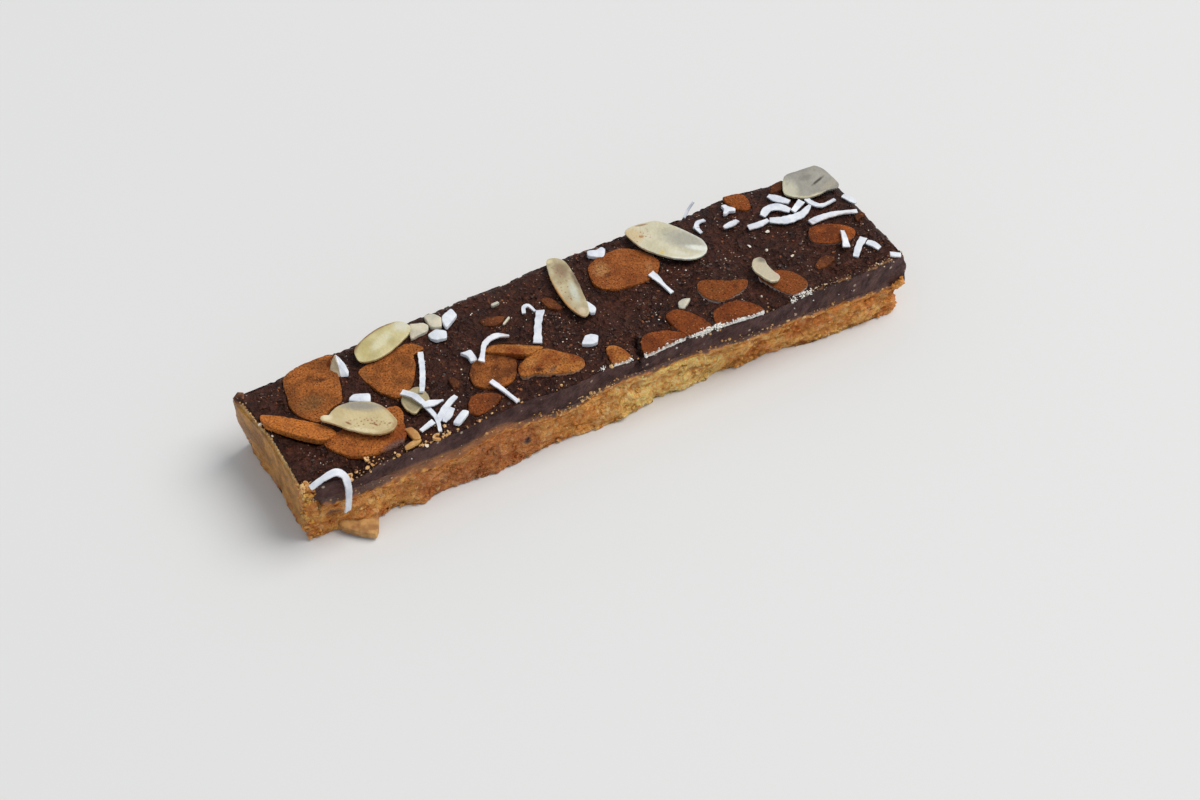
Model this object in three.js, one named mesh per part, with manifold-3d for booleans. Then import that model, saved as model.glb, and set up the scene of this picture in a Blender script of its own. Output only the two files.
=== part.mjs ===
// Caramel shortbread bar: a finger cut by hand from a tray bake. Crumbly shortbread carries a thin
// band of caramel and a thick top of dark chocolate. The left end is the side of the tray, where
// the shortbread turns up as a thin wall. Almond slices lie in and on the chocolate, skin side up
// or pale side up, with strips and chips of coconut between them.
// Millimetres. X runs along the bar, Y from its front cut face to its back one, Z is up.
import * as THREE from "three";
import { mergeVertices } from "three/addons/utils/BufferGeometryUtils.js";
import Module from "manifold-3d";

const wasm = await Module();
wasm.setup();

// Driving sizes of the bar.
const BAR_HEIGHT = 18;
const BASE_LEFT = -85.2; // foot of the left end
const BASE_RIGHT = 84.4; // cut right end of the shortbread
const CHOCOLATE_RIGHT = 86; // the chocolate reaches past the shortbread there
const GAP = 0.3; // clearance between pieces that touch

// The wall of shortbread at the left end: thick at its foot, thin at the rim.
const WALL_RIM_THICKNESS = 1.2;
const WALL_FOOT_THICKNESS = 4.2;
const WALL_BATTER = 0.8; // the wall leans out by this much up to its rim
const LIP_REACH = 2; // the lip at the back of the rim stands out by this much

// Relief of the broken shortbread: coarse crumbs with finer ones on them.
const CRUMB_RELIEF = 0.8;
const CRUMB_SCALE = 4.2; // spacing of the coarse crumbs
const FINE_CRUMB_SHARE = 0.6;
const FINE_CRUMB_RATIO = 2.2;
const PRESSED_SHARE = 0.25; // share of the relief on the left end, which the tray pressed smooth
const PRESSED_CORNER_SHARE = 0.4; // and on the front and back faces beside it
const FOOT_SHARE = 0.9; // share of it that lifts the lower edges off the ground
const FOOT_LIFT = 0.4; // and the least that they are lifted
const FLAT_FRONT = -14; // front and back edge of the flat that the bar lies on
const FLAT_BACK = 16.8;
const RIM_WASTE = 0.3; // how far the rim of the left end stays below the bar's height

// Relief of the chocolate, which was cut as it was about to set.
const CHOCOLATE_RELIEF = 0.25;
const CHOCOLATE_RELIEF_SCALE = 5;
const CHOCOLATE_WAVE = 0.3; // the top rises and falls by this much
const CHOCOLATE_WAVE_SCALE = 8;
const EDGE_ROUND = 0.7; // how far the chocolate's top drops at its edges
const END_BULGE = 1.5; // how far the right end bellies out below its top edge
const NOTCH = { x: -72, y: -17.5, radius: 7, depth: 2.2 }; // a bit broken out of the front edge

// Thickness of the toppings.
const SKIN_SLICE_THICKNESS = 2.2;
const PALE_SLICE_THICKNESS = 1.7;
const STRIP_THICKNESS = 1;
const CHIP_THICKNESS = 1.6;
const TOPPING_LIFT = 0.3; // middle of strips and chips above the height of the chocolate

// A smooth run through a few measured stations, each [x, value].
function run(...stations) {
  return (x) => {
    const last = stations.length - 1;
    if (x <= stations[0][0]) return stations[0][1];
    if (x >= stations[last][0]) return stations[last][1];
    const i = stations.findIndex(([at]) => at > x);
    const [x0, v0] = stations[i - 1];
    const [x1, v1] = stations[i];
    return v0 + (v1 - v0) * THREE.MathUtils.smoothstep(x, x0, x1);
  };
}

// Front and back cut faces at the top of the bar, as Y over X. The knife wandered.
const frontEdge = run([-86, -17], [-72, -18], [-60, -17.8], [-45, -17.4], [-27, -16.4], [-15, -17.3],
  [-4, -16.1], [8, -17.2], [18, -16.6], [27, -17.1], [42, -18], [59, -17.4], [75, -17.6], [86, -16.7]);
const backEdge = run([-86, 18.6], [-60, 20.6], [-35, 22.2], [-15, 23], [0, 24.2], [25, 24.6],
  [40, 23.2], [58, 24.7], [72, 23.4], [86, 22.8]);
// The front foot of the shortbread, where crumbs spread out or broke off.
const frontFoot = run([-86, -17.2], [-79, -17.4], [-71, -19.5], [-63, -17.8], [-56, -19.8], [-50, -18.1],
  [-36, -19.3], [-17, -17.7], [-2, -18.7], [12, -16.2], [20, -17], [30, -15.8], [38, -16.8], [46, -16.1],
  [59, -18.5], [80, -18.8], [86, -17.4]);
// Heights of the two layer joints over X.
const chocolateFloor = run([-86, 12.6], [-70, 12.6], [-58, 11.7], [-46, 10.9], [-34, 12.9], [-26, 11.1],
  [-17, 10.6], [-6, 11.2], [3, 13], [14, 12.4], [24, 11.7], [36, 11.2], [51, 11.3], [61, 10.3], [73, 9.9],
  [88, 7.8]);
const caramelThickness = run([-84, 2.6], [-62, 3.4], [-40, 3], [-22, 2.2], [0, 1.7], [40, 1.5], [88, 1.4]);
const caramelFloor = (x) => chocolateFloor(x) - caramelThickness(x);
const aboveBar = () => BAR_HEIGHT + 8;

// Almond slices in rows: x, y, height of the middle, length, width, turn, taper, squareness, bend,
// roll, rise. Turn, roll and rise are degrees. Taper narrows one tip. A squareness of 2 is an
// ellipse. Bend curves the outline sideways. Roll lifts the left side and rise the front tip.
const SKIN_SLICES = [
  [-69.3, 11.6, 18.2, 21.8, 13.6, 60, 0.02, 2.6, 0, 0, 0],
  [-64.8, -8, 18.3, 21.4, 12.2, -2, -0.3, 2.2, 0.18, 0, 0],
  [-77.4, 1.7, 18.9, 18.4, 6.4, -45, -0.2, 2, 0.06, -14, 0],
  [-48.4, 8.6, 18.2, 19, 11.2, 37, 0.5, 2.3, -0.18, 0, 0],
  [-20.4, 0.6, 18.5, 14.4, 3.8, -27, 0, 2, 0.03, -18, 0],
  [-28.4, -3.9, 18.1, 13, 10.8, 29, 0.12, 2.1, 0.04, 0, 0],
  [-15.3, -8.8, 18.5, 16.6, 9, -18, 0, 2.1, -0.16, 0, 0],
  [-35.6, -12.5, 18.1, 9.8, 6.2, 12, 0.14, 2, -0.1, 0, 0],
  [1.2, -13.6, 18, 8.2, 5.2, -82, 0, 2.2, 0, 0, 0],
  [13.1, -15.2, 18.1, 12.6, 8.6, -6, 0.1, 2.2, 0, 0, 0],
  [22.6, -11.6, 18.2, 12.2, 7.8, -64, 0, 2.4, 0, 0, 0],
  [35.2, -15.5, 18.2, 13.8, 10.4, -2, 0.1, 2.2, 0, 0, 0],
  [37.3, -5.6, 18.1, 13.8, 7.8, -16, 0.3, 2.3, 0.15, 0, 0],
  [51.9, -11, 18.2, 13.6, 8.4, -50, -0.35, 2, 0, 0, 0],
  [18.2, 12.7, 18.3, 19.2, 14.2, -2, 0.03, 2.2, -0.05, 0, 0],
  [73.2, -1.5, 18.3, 12.8, 8, -25, 0.18, 2.2, 0, 0, 0],
  [58.7, 21.4, 18, 8.2, 5.8, -76, 0, 2, -0.1, 0, 0],
];
const PALE_SLICES = [
  [-48.4, 16.6, 19.9, 17, 9, 17, 0.08, 2.3, -0.04, 0, 3],
  [-65.1, -5, 20.5, 18.4, 9.8, -39, -0.12, 2, -0.1, 0, 0],
  [1.8, 12.7, 19.1, 23.4, 7, 81, -0.18, 2, 0, 0, 0],
  [32.5, 15, 19.4, 21.8, 12.4, -48, 0.06, 2, 0, 0, -3],
  [49.1, -6.8, 19.9, 8.6, 4.2, -86, 0, 2.8, 0.15, 0, 0],
  [78.2, 17.6, 19.1, 14.4, 10.8, 0, -0.18, 2.5, -0.08, 0, 0],
  [-50.2, -4.7, 18.7, 9.6, 6.4, 53, 0, 2, 0, 0, 0],
];

// Coconut strips that lie on the chocolate: width, then the [x, y] stations of each.
const COCONUT_STRIPS = [
  [1.5, [-41.5, 10], [-43.9, 4.1], [-46.8, -1.6]],
  [1.6, [-49, -8.8], [-48.4, -12.4], [-49.4, -16.3]],
  [1.8, [-48, -6.4], [-43.8, -6.4]],
  [2.4, [-47.2, -12], [-44.4, -9.4], [-40.9, -7]],
  [1.6, [-53.2, -12.8], [-50.4, -12.4]],
  [1.5, [-20, 4.6], [-22.2, 5.7], [-24.9, 5.2], [-27.4, 3]],
  [1.6, [-30.2, -10.6], [-28.4, -16.6]],
  [2.2, [-7.8, 9.2], [-11.3, 4.8], [-14.1, 0]],
  [1.2, [-12.2, 10.7], [-10.4, 12.4], [-9.5, 9.8]],
  [2, [23.6, 4.4], [24.6, -0.4]],
  [1.5, [46.4, 19.1], [44, 18.2], [43.2, 16.2]],
  [1.8, [50, 15.3], [54.3, 14.9]],
  [1.8, [66.5, 18.4], [69.6, 13.5]],
  [1.8, [60.8, 12.9], [63.4, 14.4], [66, 13.8], [68, 11]],
  [2, [55.1, 10.7], [61, 10.3]],
  [2, [62.4, 10], [65.4, 7.8], [70, 7.8], [73.6, 9.2]],
  [1.8, [68.8, 10.2], [72.4, 11.8]],
  [1.8, [75, 12.4], [75, 10.6], [77, 8.7], [81.2, 9]],
  [2, [70.8, 5.6], [76.8, 5.6], [83.7, 3.4]],
  [2.2, [85.1, 10], [85.5, 6.7]],
  [2, [78.8, -6.6], [74.4, -11.2]],
  [1.8, [80.1, -8.2], [80.8, -12.1]],
  [1.6, [82.3, -14.2], [84, -16.2]],
];
// One strip hangs over the front edge in the notch: its [x, y, z] stations.
const HANGING_STRIP_WIDTH = 2;
const HANGING_STRIP = [[-83.7, -17.2, 17.7], [-80.3, -17, 19], [-77.2, -17.2, 19.2], [-75.4, -18.6, 17.6],
  [-75.2, -19.4, 14.4], [-75.6, -19.9, 11.6], [-76.3, -20.2, 8.4]];
// One thin strip stands out past the back edge.
const STRAY_STRIP_WIDTH = 1;
const STRAY_STRIP = [[42.6, 22.6, 18], [44.6, 23.8, 19.4], [46.6, 24.2, 21.2]];

// Chips of coconut and almond on the chocolate: x, y, length, width, turn in degrees.
const CHIPS = [
  [-60.9, 4.1, 5, 2.9, -31],
  [-42.5, -13.6, 4.9, 2.1, 31],
  [-29.4, 18.2, 6.6, 3.2, 50],
  [-34.6, 14.1, 4.8, 3.6, -50],
  [-30.9, 3.7, 4.6, 2.8, -82],
  [3.6, 5, 6.2, 2.4, -87],
  [-2.2, -5.2, 4.7, 2.8, -9],
  [15.4, 21.6, 4.2, 3, -11],
  [54.7, 20.2, 4, 3.2, 82],
  [-54.9, -12.6, 5.2, 2.2, -81],
  [-57, -16.4, 5, 2.2, 15],
  [-32.8, 19, 5.4, 4.2, -88],
  [-37.6, 18.4, 5.2, 2.6, -4],
  [65.6, -9.4, 5, 3.1, 11],
  [70.8, 20.8, 5.8, 3, 18],
  [-4.5, 10.6, 6.4, 1.8, -67],
  [-19.7, 11.8, 7.4, 3, -19],
];
// A splinter of almond stands on end near the back edge, with its root in the chocolate.
const STANDING_CHIP = { x: -61.6, y: 15.6, length: 7.4, thickness: 2, rise: 3.6, root: 1, turn: 76 };

// A broken flake of shortbread juts out under the front left corner: its outline from above.
const JUTTING_FLAKE = [[-78.6, -15.6], [-77.4, -19.6], [-71.4, -25.2], [-68.4, -20.6], [-68.2, -15.6]];
const JUTTING_FLAKE_THICKNESS = 2.4;
// A lump of crumbs hangs on at the right end.
const HANGING_CRUMB = { x: 85.2, y: -14.6, z: 9, reach: 2.9, height: 4.4, width: 5.4 };

// Smooth noise from -1 to 1 on a lattice, the same at every build.
function latticeValue(i, j, k, seed) {
  const wave = Math.sin(i * 127.1 + j * 311.7 + k * 74.7 + seed * 53.3) * 43758.5453;
  return (wave - Math.floor(wave)) * 2 - 1;
}
function noise(x, y, z, seed) {
  const cell = [x, y, z].map(Math.floor);
  const inside = [x - cell[0], y - cell[1], z - cell[2]].map((t) => t * t * (3 - 2 * t));
  let sum = 0;
  for (let corner = 0; corner < 8; corner++) {
    const step = [corner & 1, (corner >> 1) & 1, corner >> 2];
    const weight = step.reduce((w, s, axis) => w * (s ? inside[axis] : 1 - inside[axis]), 1);
    sum += weight * latticeValue(cell[0] + step[0], cell[1] + step[1], cell[2] + step[2], seed);
  }
  return sum;
}
function crumbs(x, y, z) {
  const coarse = CRUMB_SCALE;
  const fine = CRUMB_SCALE / FINE_CRUMB_RATIO;
  const lumps = noise(x / coarse, y / coarse, z / coarse, 1);
  const grains = noise(x / fine, y / fine, z / fine, 2);
  return CRUMB_RELIEF * (lumps + FINE_CRUMB_SHARE * grains);
}

// A three.js geometry as a solid that can be joined and cut, and back again.
function solidOf(geometry) {
  const bare = new THREE.BufferGeometry();
  bare.setAttribute("position", geometry.getAttribute("position"));
  if (geometry.index) bare.setIndex(geometry.index);
  const merged = mergeVertices(bare, 1e-4);
  return new wasm.Manifold(
    new wasm.Mesh({
      numProp: 3,
      vertProperties: new Float32Array(merged.getAttribute("position").array),
      triVerts: new Uint32Array(merged.index.array),
    }),
  );
}
function geometryOf(solid) {
  const mesh = solid.getMesh();
  const geometry = new THREE.BufferGeometry();
  geometry.setAttribute("position", new THREE.BufferAttribute(new Float32Array(mesh.vertProperties), 3));
  geometry.setIndex(new THREE.BufferAttribute(new Uint32Array(mesh.triVerts), 1));
  geometry.computeVertexNormals();
  return geometry;
}
// Cutting may leave loose scraps: only the largest body is the piece.
function largestBody(solid) {
  const bodies = solid.decompose();
  return bodies.reduce((best, body) => (body.volume() > best.volume() ? body : best));
}

// A box with a grid on every face, each vertex moved by shape(along, across, up): along and
// across run from -1 to 1 and up from 0 to 1.
function shapedBlock(cellsX, cellsY, cellsZ, shape) {
  const geometry = new THREE.BoxGeometry(2, 2, 1, cellsX, cellsY, cellsZ);
  const position = geometry.getAttribute("position");
  for (let i = 0; i < position.count; i++) {
    position.setXYZ(i, ...shape(position.getX(i), position.getY(i), position.getZ(i) + 0.5));
  }
  return solidOf(geometry);
}

// The left end leans out a little and has a lip at the back of its rim.
function leftEnd(across, height) {
  const { smoothstep } = THREE.MathUtils;
  const up = height / BAR_HEIGHT;
  const lip = LIP_REACH * smoothstep(across, 0.2, 1) * smoothstep(up, 0.15, 0.6);
  return BASE_LEFT - WALL_BATTER * up - lip;
}

// Crumbly outer shape of the shortbread, up to the top of the bar.
function shortbreadBlock() {
  return shapedBlock(72, 4, 6, (along, across, up) => {
    const atFaces = Math.abs(across) > 0.999;
    const atRight = along > 0.999;
    const atLeft = along < -0.999;
    const z = up * BAR_HEIGHT;
    let x = THREE.MathUtils.mapLinear(along, -1, 1, leftEnd(across, z), BASE_RIGHT);
    const front = THREE.MathUtils.lerp(frontFoot(x), frontEdge(x), THREE.MathUtils.smoothstep(up, 0, 0.7));
    let y = THREE.MathUtils.mapLinear(across, -1, 1, front, backEdge(x));
    const relief = crumbs(x, y, z);
    const nearLeft = THREE.MathUtils.smoothstep(-along, 0.94, 1);
    const side = atFaces ? THREE.MathUtils.lerp(1, PRESSED_CORNER_SHARE, nearLeft) : 0;
    y += Math.sign(across) * relief * side;
    if (atRight) x += relief;
    if (atLeft) x -= PRESSED_SHARE * relief;
    const atRim = atFaces || atLeft || atRight;
    if (up === 0 && !atRim && across !== 0) y = across < 0 ? FLAT_FRONT : FLAT_BACK;
    const lift = up === 0 && atRim ? FOOT_LIFT + FOOT_SHARE * Math.abs(relief) : 0;
    const waste = up === 1 ? RIM_WASTE * (1 - relief) : 0;
    return [x, y, z + lift - waste];
  });
}

// Smooth outer shape of the chocolate and the caramel, taller than both layers.
function toppedBlock(cellsX, cellsY, cellsZ) {
  const bottom = 4;
  const { smoothstep, lerp, mapLinear } = THREE.MathUtils;
  return shapedBlock(cellsX, cellsY, cellsZ, (along, across, up) => {
    const atFaces = Math.abs(across) > 0.999 ? Math.sign(across) : 0;
    const atRight = along > 0.999 ? 1 : 0;
    const height = lerp(bottom, BAR_HEIGHT, up);
    const bulge = END_BULGE * smoothstep(BAR_HEIGHT - height, 0.5, 6);
    const x = mapLinear(along, -1, 1, BASE_LEFT - 2, CHOCOLATE_RIGHT + bulge);
    const y = mapLinear(across, -1, 1, frontEdge(x), backEdge(x));
    const fine = CHOCOLATE_RELIEF_SCALE;
    const wander = CHOCOLATE_RELIEF * noise(x / fine, y / fine, height / fine, 3);
    const broad = CHOCOLATE_WAVE_SCALE;
    const wave = CHOCOLATE_WAVE * noise(x / broad, y / broad, 0.5, 4);
    const edge = Math.max(smoothstep(Math.abs(across), 0.86, 1), smoothstep(along, 0.985, 1));
    const notch = smoothstep(NOTCH.radius - Math.hypot(x - NOTCH.x, y - NOTCH.y), 0, NOTCH.radius);
    const surface = wave - EDGE_ROUND * edge - NOTCH.depth * notch;
    return [x + atRight * wander, y + atFaces * wander, height + up * surface];
  });
}

// Inner face of the end wall: its X over the height, thick below and thin at the rim.
function innerWall(z) {
  const up = THREE.MathUtils.smoothstep(z, 8, BAR_HEIGHT);
  return BASE_LEFT - WALL_BATTER + THREE.MathUtils.lerp(WALL_FOOT_THICKNESS, WALL_RIM_THICKNESS, up);
}

// Everything between two layer joints, as a slab that reaches past the front and back of the bar.
// Its left side follows the inner face of the end wall.
function between(floor, ceiling, clearance) {
  const reach = 40;
  const right = 95;
  const wall = (z) => innerWall(z) + clearance;
  const outline = new THREE.Shape();
  const stations = 44;
  const wallSteps = 4;
  const start = wall(floor(BASE_LEFT));
  outline.moveTo(start, floor(start));
  for (let i = 1; i <= stations; i++) {
    const x = THREE.MathUtils.lerp(start, right, i / stations);
    outline.lineTo(x, floor(x));
  }
  for (let i = stations; i >= 0; i--) {
    const x = THREE.MathUtils.lerp(start, right, i / stations);
    outline.lineTo(x, ceiling(x));
  }
  for (let i = 1; i < wallSteps; i++) {
    const z = THREE.MathUtils.lerp(ceiling(start), floor(start), i / wallSteps);
    if (z < BAR_HEIGHT + 1) outline.lineTo(wall(z), z);
  }
  const slab = new THREE.ExtrudeGeometry(outline, { depth: 2 * reach, bevelEnabled: false });
  slab.rotateX(Math.PI / 2);
  slab.translate(0, reach, 0);
  return solidOf(slab);
}

// The bar's outline from above, as a tall prism: the knife went through the pressed-in almonds too.
function knifeOutline() {
  const shape = new THREE.Shape();
  const stations = 43;
  const reach = 90;
  const height = 30;
  const xAt = (i) => THREE.MathUtils.lerp(-reach, reach, i / stations);
  shape.moveTo(xAt(0), frontEdge(xAt(0)));
  for (let i = 1; i <= stations; i++) shape.lineTo(xAt(i), frontEdge(xAt(i)));
  for (let i = stations; i >= 0; i--) shape.lineTo(xAt(i), backEdge(xAt(i)));
  const prism = new THREE.ExtrudeGeometry(shape, { depth: height, bevelEnabled: false });
  return solidOf(prism);
}

// An almond slice: an oval pad with a domed top and a rounded rim, grown by a clearance if wanted.
function sliceSolid(row, thickness, clearance = 0) {
  const [x, y, z, length, width, turn, taper, squareness, bend, roll, rise] = row;
  const sides = 14;
  const rings = [[-0.5, 0.72], [-0.1, 1], [0.3, 0.86], [0.5, 0.4]];
  const points = [];
  const halfLength = length / 2 + clearance;
  const halfWidth = width / 2 + clearance;
  const depth = thickness + 2 * clearance;
  const signedPower = (value) => Math.sign(value) * Math.abs(value) ** (2 / squareness);
  for (const [level, spread] of rings) {
    for (let i = 0; i < sides; i++) {
      const angle = (2 * Math.PI * i) / sides;
      const along = signedPower(Math.cos(angle)) * spread;
      const across = signedPower(Math.sin(angle)) * spread;
      const px = halfLength * along;
      const py = halfWidth * (across * (1 - taper * along) + 2 * bend * (along * along - 0.4));
      points.push(px, py, level * depth);
    }
  }
  const lastRing = rings.length - 1;
  const bottomCentre = points.length / 3;
  points.push(0, -0.8 * bend * halfWidth, rings[0][0] * depth);
  points.push(0, -0.8 * bend * halfWidth, rings[lastRing][0] * depth);
  const faces = [];
  for (let i = 0; i < sides; i++) {
    const next = (i + 1) % sides;
    for (let ring = 0; ring < lastRing; ring++) {
      const low = ring * sides;
      const high = low + sides;
      faces.push(low + i, low + next, high + next, low + i, high + next, high + i);
    }
    faces.push(bottomCentre, next, i);
    faces.push(bottomCentre + 1, lastRing * sides + i, lastRing * sides + next);
  }
  const geometry = new THREE.BufferGeometry();
  geometry.setAttribute("position", new THREE.Float32BufferAttribute(points, 3));
  geometry.setIndex(faces);
  const degrees = THREE.MathUtils.degToRad;
  geometry.rotateX(degrees(roll));
  geometry.rotateY(-degrees(rise));
  geometry.rotateZ(degrees(turn));
  geometry.translate(x, y, z);
  return solidOf(geometry);
}

// A flat strip along a curve, its width lying on the surface.
function stripSolid(stations, width, thickness = STRIP_THICKNESS) {
  const curve = new THREE.CatmullRomCurve3(stations.map((s) => new THREE.Vector3(...s)));
  const steps = Math.max(2, 2 * (stations.length - 1));
  const rows = [];
  for (let i = 0; i <= steps; i++) {
    const centre = curve.getPoint(i / steps);
    const ahead = curve.getTangent(i / steps);
    const flat = new THREE.Vector3(-ahead.y, ahead.x, 0);
    const side = flat.length() > 0.2 ? flat.normalize() : rows[rows.length - 1].side;
    const up = new THREE.Vector3().crossVectors(ahead, side).normalize();
    rows.push({ centre, side, up });
  }
  const points = [];
  for (const { centre, side, up } of rows) {
    for (const [s, u] of [[-1, -1], [1, -1], [1, 1], [-1, 1]]) {
      const onEdge = centre.clone().addScaledVector(side, (s * width) / 2);
      points.push(...onEdge.addScaledVector(up, (u * thickness) / 2).toArray());
    }
  }
  const faces = [0, 1, 2, 0, 2, 3];
  const last = 4 * steps;
  faces.push(last, last + 2, last + 1, last, last + 3, last + 2);
  for (let i = 0; i < steps; i++) {
    for (let c = 0; c < 4; c++) {
      const a = 4 * i + c;
      const b = 4 * i + ((c + 1) % 4);
      faces.push(a, a + 4, b, b, a + 4, b + 4);
    }
  }
  const geometry = new THREE.BufferGeometry();
  geometry.setAttribute("position", new THREE.Float32BufferAttribute(points, 3));
  geometry.setIndex(faces);
  const solid = solidOf(geometry);
  return solid.volume() < 0 ? solidOf(turnedInsideOut(geometry)) : solid;
}
function turnedInsideOut(geometry) {
  const index = geometry.index.array;
  for (let i = 0; i < index.length; i += 3) [index[i], index[i + 1]] = [index[i + 1], index[i]];
  return geometry;
}

// A small chip: a tapered six-sided pad.
function chipSolid([x, y, length, width, turn]) {
  const geometry = new THREE.CylinderGeometry(0.42, 0.5, CHIP_THICKNESS, 6);
  geometry.rotateX(Math.PI / 2);
  geometry.scale(length, width, 1);
  geometry.rotateZ(THREE.MathUtils.degToRad(turn));
  geometry.translate(x, y, BAR_HEIGHT + TOPPING_LIFT);
  return solidOf(geometry);
}
function standingChipSolid() {
  const { x, y, length, thickness, rise, root, turn } = STANDING_CHIP;
  const geometry = new THREE.CylinderGeometry(0.12, 0.5, rise + root, 5);
  geometry.rotateX(Math.PI / 2);
  geometry.scale(length, thickness, 1);
  geometry.rotateZ(THREE.MathUtils.degToRad(turn));
  geometry.translate(x, y, BAR_HEIGHT + (rise - root) / 2);
  return solidOf(geometry);
}

function juttingFlakeSolid() {
  const shape = new THREE.Shape(JUTTING_FLAKE.map((corner) => new THREE.Vector2(...corner)));
  const geometry = new THREE.ExtrudeGeometry(shape, { depth: JUTTING_FLAKE_THICKNESS, bevelEnabled: false });
  geometry.translate(0, 0, FOOT_LIFT);
  return solidOf(geometry);
}
function hangingCrumbSolid() {
  const { x, y, z, reach, height, width } = HANGING_CRUMB;
  const geometry = new THREE.IcosahedronGeometry(1, 1);
  geometry.scale(reach, width / 2, height / 2);
  geometry.translate(x, y, z);
  return solidOf(geometry);
}

// Shortbread, with everything above it taken out. The hanging strip keeps its clearance in a groove.
function buildShortbread() {
  const filling = between(caramelFloor, aboveBar, 0);
  const crust = shortbreadBlock().add(juttingFlakeSolid()).add(hangingCrumbSolid());
  const groove = stripSolid(HANGING_STRIP, HANGING_STRIP_WIDTH + 2 * GAP, STRIP_THICKNESS + 2 * GAP);
  return largestBody(crust.subtract(filling).subtract(groove));
}
function buildCaramel() {
  const band = between((x) => caramelFloor(x) + GAP, (x) => chocolateFloor(x) - GAP, GAP);
  return largestBody(toppedBlock(44, 1, 3).intersect(band));
}
function buildChocolate(pockets) {
  const layer = toppedBlock(52, 11, 3).intersect(between(chocolateFloor, aboveBar, GAP));
  const onTop = (width, stations) =>
    stripSolid(stations.map(([x, y]) => [x, y, BAR_HEIGHT + TOPPING_LIFT]), width);
  const toppings = [
    ...COCONUT_STRIPS.map(([width, ...stations]) => onTop(width, stations)),
    ...CHIPS.map(chipSolid),
    standingChipSolid(),
    stripSolid(HANGING_STRIP, HANGING_STRIP_WIDTH),
    stripSolid(STRAY_STRIP, STRAY_STRIP_WIDTH),
  ];
  const dressed = toppings.reduce((sum, topping) => sum.add(topping), layer);
  return largestBody(pockets.reduce((rest, pocket) => rest.subtract(pocket), dressed));
}

// Slices in the order they were laid: a later one rests on the earlier ones it meets.
function buildSlices() {
  const knife = knifeOutline();
  const laid = [];
  const lay = (row, thickness, name, pressedIn) => {
    let slice = sliceSolid(row, thickness);
    if (pressedIn) slice = slice.intersect(knife);
    for (const earlier of laid) slice = slice.subtract(earlier.pocket);
    laid.push({ name, solid: largestBody(slice), pocket: sliceSolid(row, thickness, GAP), pressedIn });
  };
  SKIN_SLICES.forEach((row, i) => lay(row, SKIN_SLICE_THICKNESS, "almond_skin_up_" + (i + 1), true));
  PALE_SLICES.forEach((row, i) => lay(row, PALE_SLICE_THICKNESS, "almond_pale_up_" + (i + 1), false));
  return laid;
}

const shortbreadMaterial = new THREE.MeshStandardMaterial({ color: 0xb98445, roughness: 0.85, metalness: 0 });
const caramelMaterial = new THREE.MeshStandardMaterial({ color: 0xa5682c, roughness: 0.35, metalness: 0 });
const chocolateMaterial = new THREE.MeshStandardMaterial({ color: 0x3a231c, roughness: 0.6, metalness: 0 });
const skinMaterial = new THREE.MeshStandardMaterial({ color: 0x8a4a24, roughness: 0.9, metalness: 0 });
const paleMaterial = new THREE.MeshStandardMaterial({ color: 0xcdbb8c, roughness: 0.5, metalness: 0 });

const slices = buildSlices();
const bar = new THREE.Group();
bar.name = "caramel_shortbread_bar";
function addPiece(name, solid, material) {
  const mesh = new THREE.Mesh(geometryOf(solid), material.clone());
  mesh.name = name;
  bar.add(mesh);
}
addPiece("shortbread_base", buildShortbread(), shortbreadMaterial);
addPiece("caramel_layer", buildCaramel(), caramelMaterial);
addPiece("chocolate_top", buildChocolate(slices.map((s) => s.pocket)), chocolateMaterial);
for (const { name, solid, pressedIn } of slices) addPiece(name, solid, pressedIn ? skinMaterial : paleMaterial);

// The origin is on the surface the bar lies on, under the middle of its box.
const box = new THREE.Box3().setFromObject(bar);
const centre = box.getCenter(new THREE.Vector3());
bar.position.set(-centre.x, -centre.y, -box.min.z);

export default bar;
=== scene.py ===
# %% [markdown]
# # Caramel shortbread bar
# A finger cut by hand from a tray bake: crumbly shortbread, a thin band of caramel and a thick top of
# dark chocolate, strewn with almond slices and coconut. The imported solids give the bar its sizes, and
# this lesson dresses them with finer meshes and procedural materials. Everything is measured in the
# bar's own millimetres, with X along the bar, Y from the front cut face to the back one and Z up, and
# becomes metres at the last moment, because that keeps the numbers readable.

import math

import bpy
import numpy as np
from mathutils import Matrix, Vector, noise


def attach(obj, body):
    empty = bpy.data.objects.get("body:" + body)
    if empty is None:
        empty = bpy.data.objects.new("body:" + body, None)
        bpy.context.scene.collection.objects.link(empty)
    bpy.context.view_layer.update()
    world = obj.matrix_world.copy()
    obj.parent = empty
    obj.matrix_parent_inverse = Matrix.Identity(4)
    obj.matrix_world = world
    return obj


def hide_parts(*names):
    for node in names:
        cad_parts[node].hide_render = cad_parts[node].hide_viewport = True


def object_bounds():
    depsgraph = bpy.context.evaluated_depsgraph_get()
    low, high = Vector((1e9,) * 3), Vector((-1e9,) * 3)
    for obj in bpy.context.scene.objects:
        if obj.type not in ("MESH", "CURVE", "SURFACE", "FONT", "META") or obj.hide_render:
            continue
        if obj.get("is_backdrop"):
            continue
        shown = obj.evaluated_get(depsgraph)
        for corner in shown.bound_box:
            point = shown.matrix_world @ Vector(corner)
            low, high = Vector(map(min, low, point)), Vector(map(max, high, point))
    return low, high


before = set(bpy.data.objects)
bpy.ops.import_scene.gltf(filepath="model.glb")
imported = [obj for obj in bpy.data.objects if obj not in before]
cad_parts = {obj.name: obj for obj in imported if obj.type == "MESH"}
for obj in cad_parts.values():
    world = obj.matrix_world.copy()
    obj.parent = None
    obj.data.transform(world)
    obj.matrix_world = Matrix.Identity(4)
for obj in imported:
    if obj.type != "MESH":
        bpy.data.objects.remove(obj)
cad_low, cad_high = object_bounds()
print("solid nodes:", len(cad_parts))
print("box of the solids, mm:", [round(1000 * (b - a), 1) for a, b in zip(cad_low, cad_high)])

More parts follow.
